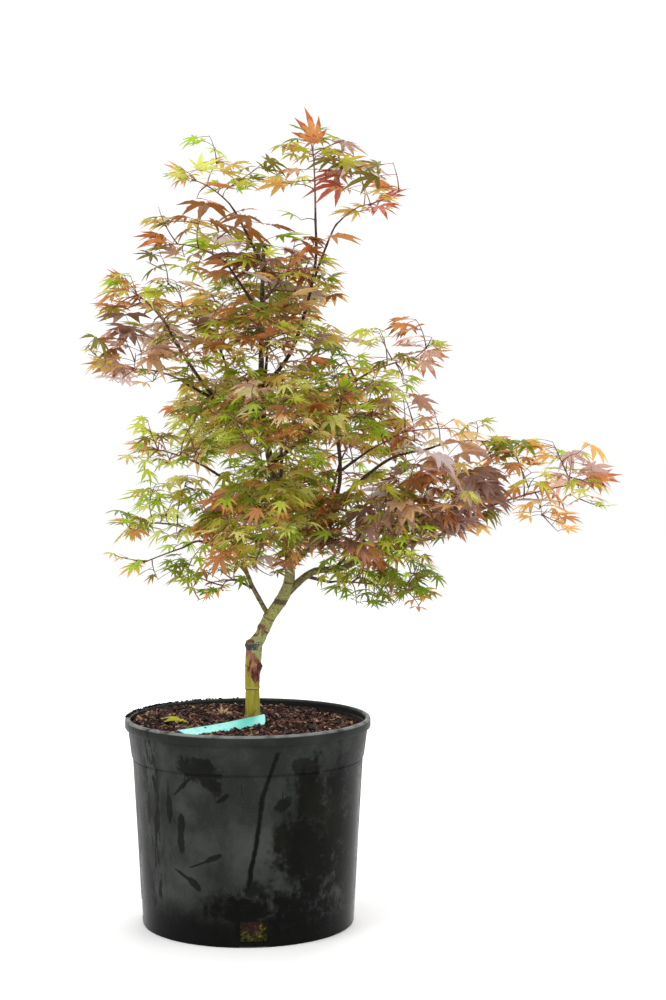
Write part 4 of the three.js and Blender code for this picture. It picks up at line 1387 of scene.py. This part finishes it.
def growStem(mass, draw):
    # the stem of a mass with its leading leaf; returns it, its heading and what can bear twigs
    centre, lead = mass["centre"], leafing["lead"]
    if mass["at"]:
        foot, footRadius = trunkPoint(mass["at"]), growth["stemFoot"]
    else:
        limb = limbs[mass["name"]]
        foot, footRadius = limb["route"].at(0.99), limb["radius"] * boughTaper
    ahead = unit(mass["tip"] - centre)
    tip = centre + ahead * growth["reach"] * spaceRadius(mass, ahead)
    heading = unit(tip - foot)
    length = kinds[mass["kind"]][0] * lead["size"]
    end = tip - heading * length * lead["back"]
    stem = arc(foot, (centre + (foot + end) / 2) / 2, end)
    rings = growth["stemRings"]
    radii = np.linspace(footRadius, growth["stemTip"], rings)
    twigWood.add(stem.spread(rings), radii, growth["sides"]["stem"])
    heart = end + heading * length * lead["heart"]
    foliage.add(leadTint(mass), heart, heading, lead["roll"], leafCorners(draw, length))
    foliage.hold(end + heading * length * lead["middle"])
    addStalk(Route([end - heading, heart], dense=2).spread(4))
    branches = [(stem, 0)]
    if not mass["at"]:
        cuts, first = growth["outerBough"]
        branches.append((Route(limb["route"].spread(cuts)[first:]), 0))
    return stem, heading, branches


def nearestNode(branches, target):
    best = None
    for route, level in branches:
        for part in growth["nodes"]:
            place = route.at(part)
            cost = np.linalg.norm(place - target) + growth["nodeCost"] * level
            if best is None or cost < best[0]:
                best = (cost, place, route.heading(part), level)
    return best[1:]


def growMass(mass, seed):
    draw = seededDraws(seed)
    centre = mass["centre"]
    stem, heading, branches = growStem(mass, draw)
    for turn in (1, -1):
        addLeaf(mass, draw, stem.at(growth["firstPair"]), heading, leadTint(mass),
                turn * math.radians(leafing["spread"]))
    targets = evenPoints(seed)
    grown, tries = 0, 0
    while grown < mass["twigs"] and tries < growth["tries"]:
        tries += 1
        target = centre + next(targets) * mass["radii"] * growth["fill"]
        start, along, level = nearestNode(branches, target)
        way = target - start
        long = np.linalg.norm(way)
        if not growth["shortest"] < long < growth["longest"] or unit(way).dot(along) < growth["forward"]:
            continue
        lean, half = growth["bend"]
        bend = start + along * long * lean + way * half + np.array([0, 0, draw(*growth["arch"])])
        route = arc(start, bend, target, 8)
        tint = springTint(draw, mass, target[2], shadeDepth(target))
        outward = unit((target - centre) * [1, 1, 0])
        flat = unit(unit(way * [1, 1, 0.001]) * (1 - growth["outward"]) + outward * growth["outward"])
        placed = 0
        gap = growth["pairGap"] / route.length
        pairs = max(1, round(long * (1 - growth["pairsFrom"]) / growth["pairStep"]))
        for part in np.linspace(growth["firstPair"], growth["pairsFrom"], pairs + 1)[:pairs]:
            for turn, place in ((1, part), (-1, part - gap)):
                spread = math.radians(leafing["spread"] + draw(*leafing["spreadVaries"])) * turn
                placed += addLeaf(mass, draw, route.at(place), flat, tint, spread)
        if draw() < growth["endLeaf"]:
            placed += addLeaf(mass, draw, route.at(1), flat, tint, 0)
        if not placed:
            continue
        foot = min(growth["twigFoot"] + long * growth["twigThickens"], growth["thickest"])
        rings = max(5, int(long / 5))
        radii = np.linspace(foot, growth["twigTip"], rings)
        twigWood.add(route.spread(rings), radii, growth["sides"]["twig"])
        branches.append((route, level + 1))
        grown += 1


for number, mass in enumerate(massRows.values()):
    growMass(mass, number + 1)
for kind in kinds:
    nodes = [f"{mass['name']}_leaves" for mass in massRows.values() if mass["kind"] == kind]
    dressPiece(foliage.piece(kind), f"{kind}_leaves", *nodes)
    print(kind, "leaves", len(foliage.points[kind]))
dressPiece(twigWood.piece("twigs", [woodFinish("twigBark", 0x8C6250, 0x56382E, 0.6)]), "bough_bark")
dressPiece(stalkWood.piece("leafStalks", [woodFinish("leafStalks", 0x9A5A4A, 0x7A3A38, 0.5)]), "bough_bark")
print("foliage ready")

# two fallen leaves on the mulch
fallen = [  # x, y, height above the mulch, turn, pitch, roll, length, colour
    [-70, -38, 4.5, 165, 8, 24, 26, 0xC0C440],
    [-32, 40, 2.5, 60, 14, 26, 15, 0xC8A070],
]


def makeFallen():
    draw = seededDraws(77)
    points, faces, finishes = [], [], []
    for n, (x, y, lift, turn, pitch, roll, long, colour) in enumerate(fallen):
        turn = math.radians(turn)
        out = raised((math.cos(turn), math.sin(turn)), math.radians(pitch))
        heart = np.array([x, y, mulchHeight(x, y) + lift])
        corners = leafCorners(draw, long) @ leafBasis(out, math.radians(roll))
        faces += [tuple(corner + len(corners) * n for corner in face) for face in leafFaceRows]
        points.append(heart + corners)
        finishes.append(leafFinish(f"fallenLeaf{n}", linear(colour)))
    tones = np.repeat(np.arange(len(fallen)), len(leafFaceRows))
    return meshPiece("fallenLeaves", np.vstack(points), faces, finishes, tones)


dressPiece(makeFallen(), "lime_leaves")
print("fallen leaves ready")

bpy.context.view_layer.update()
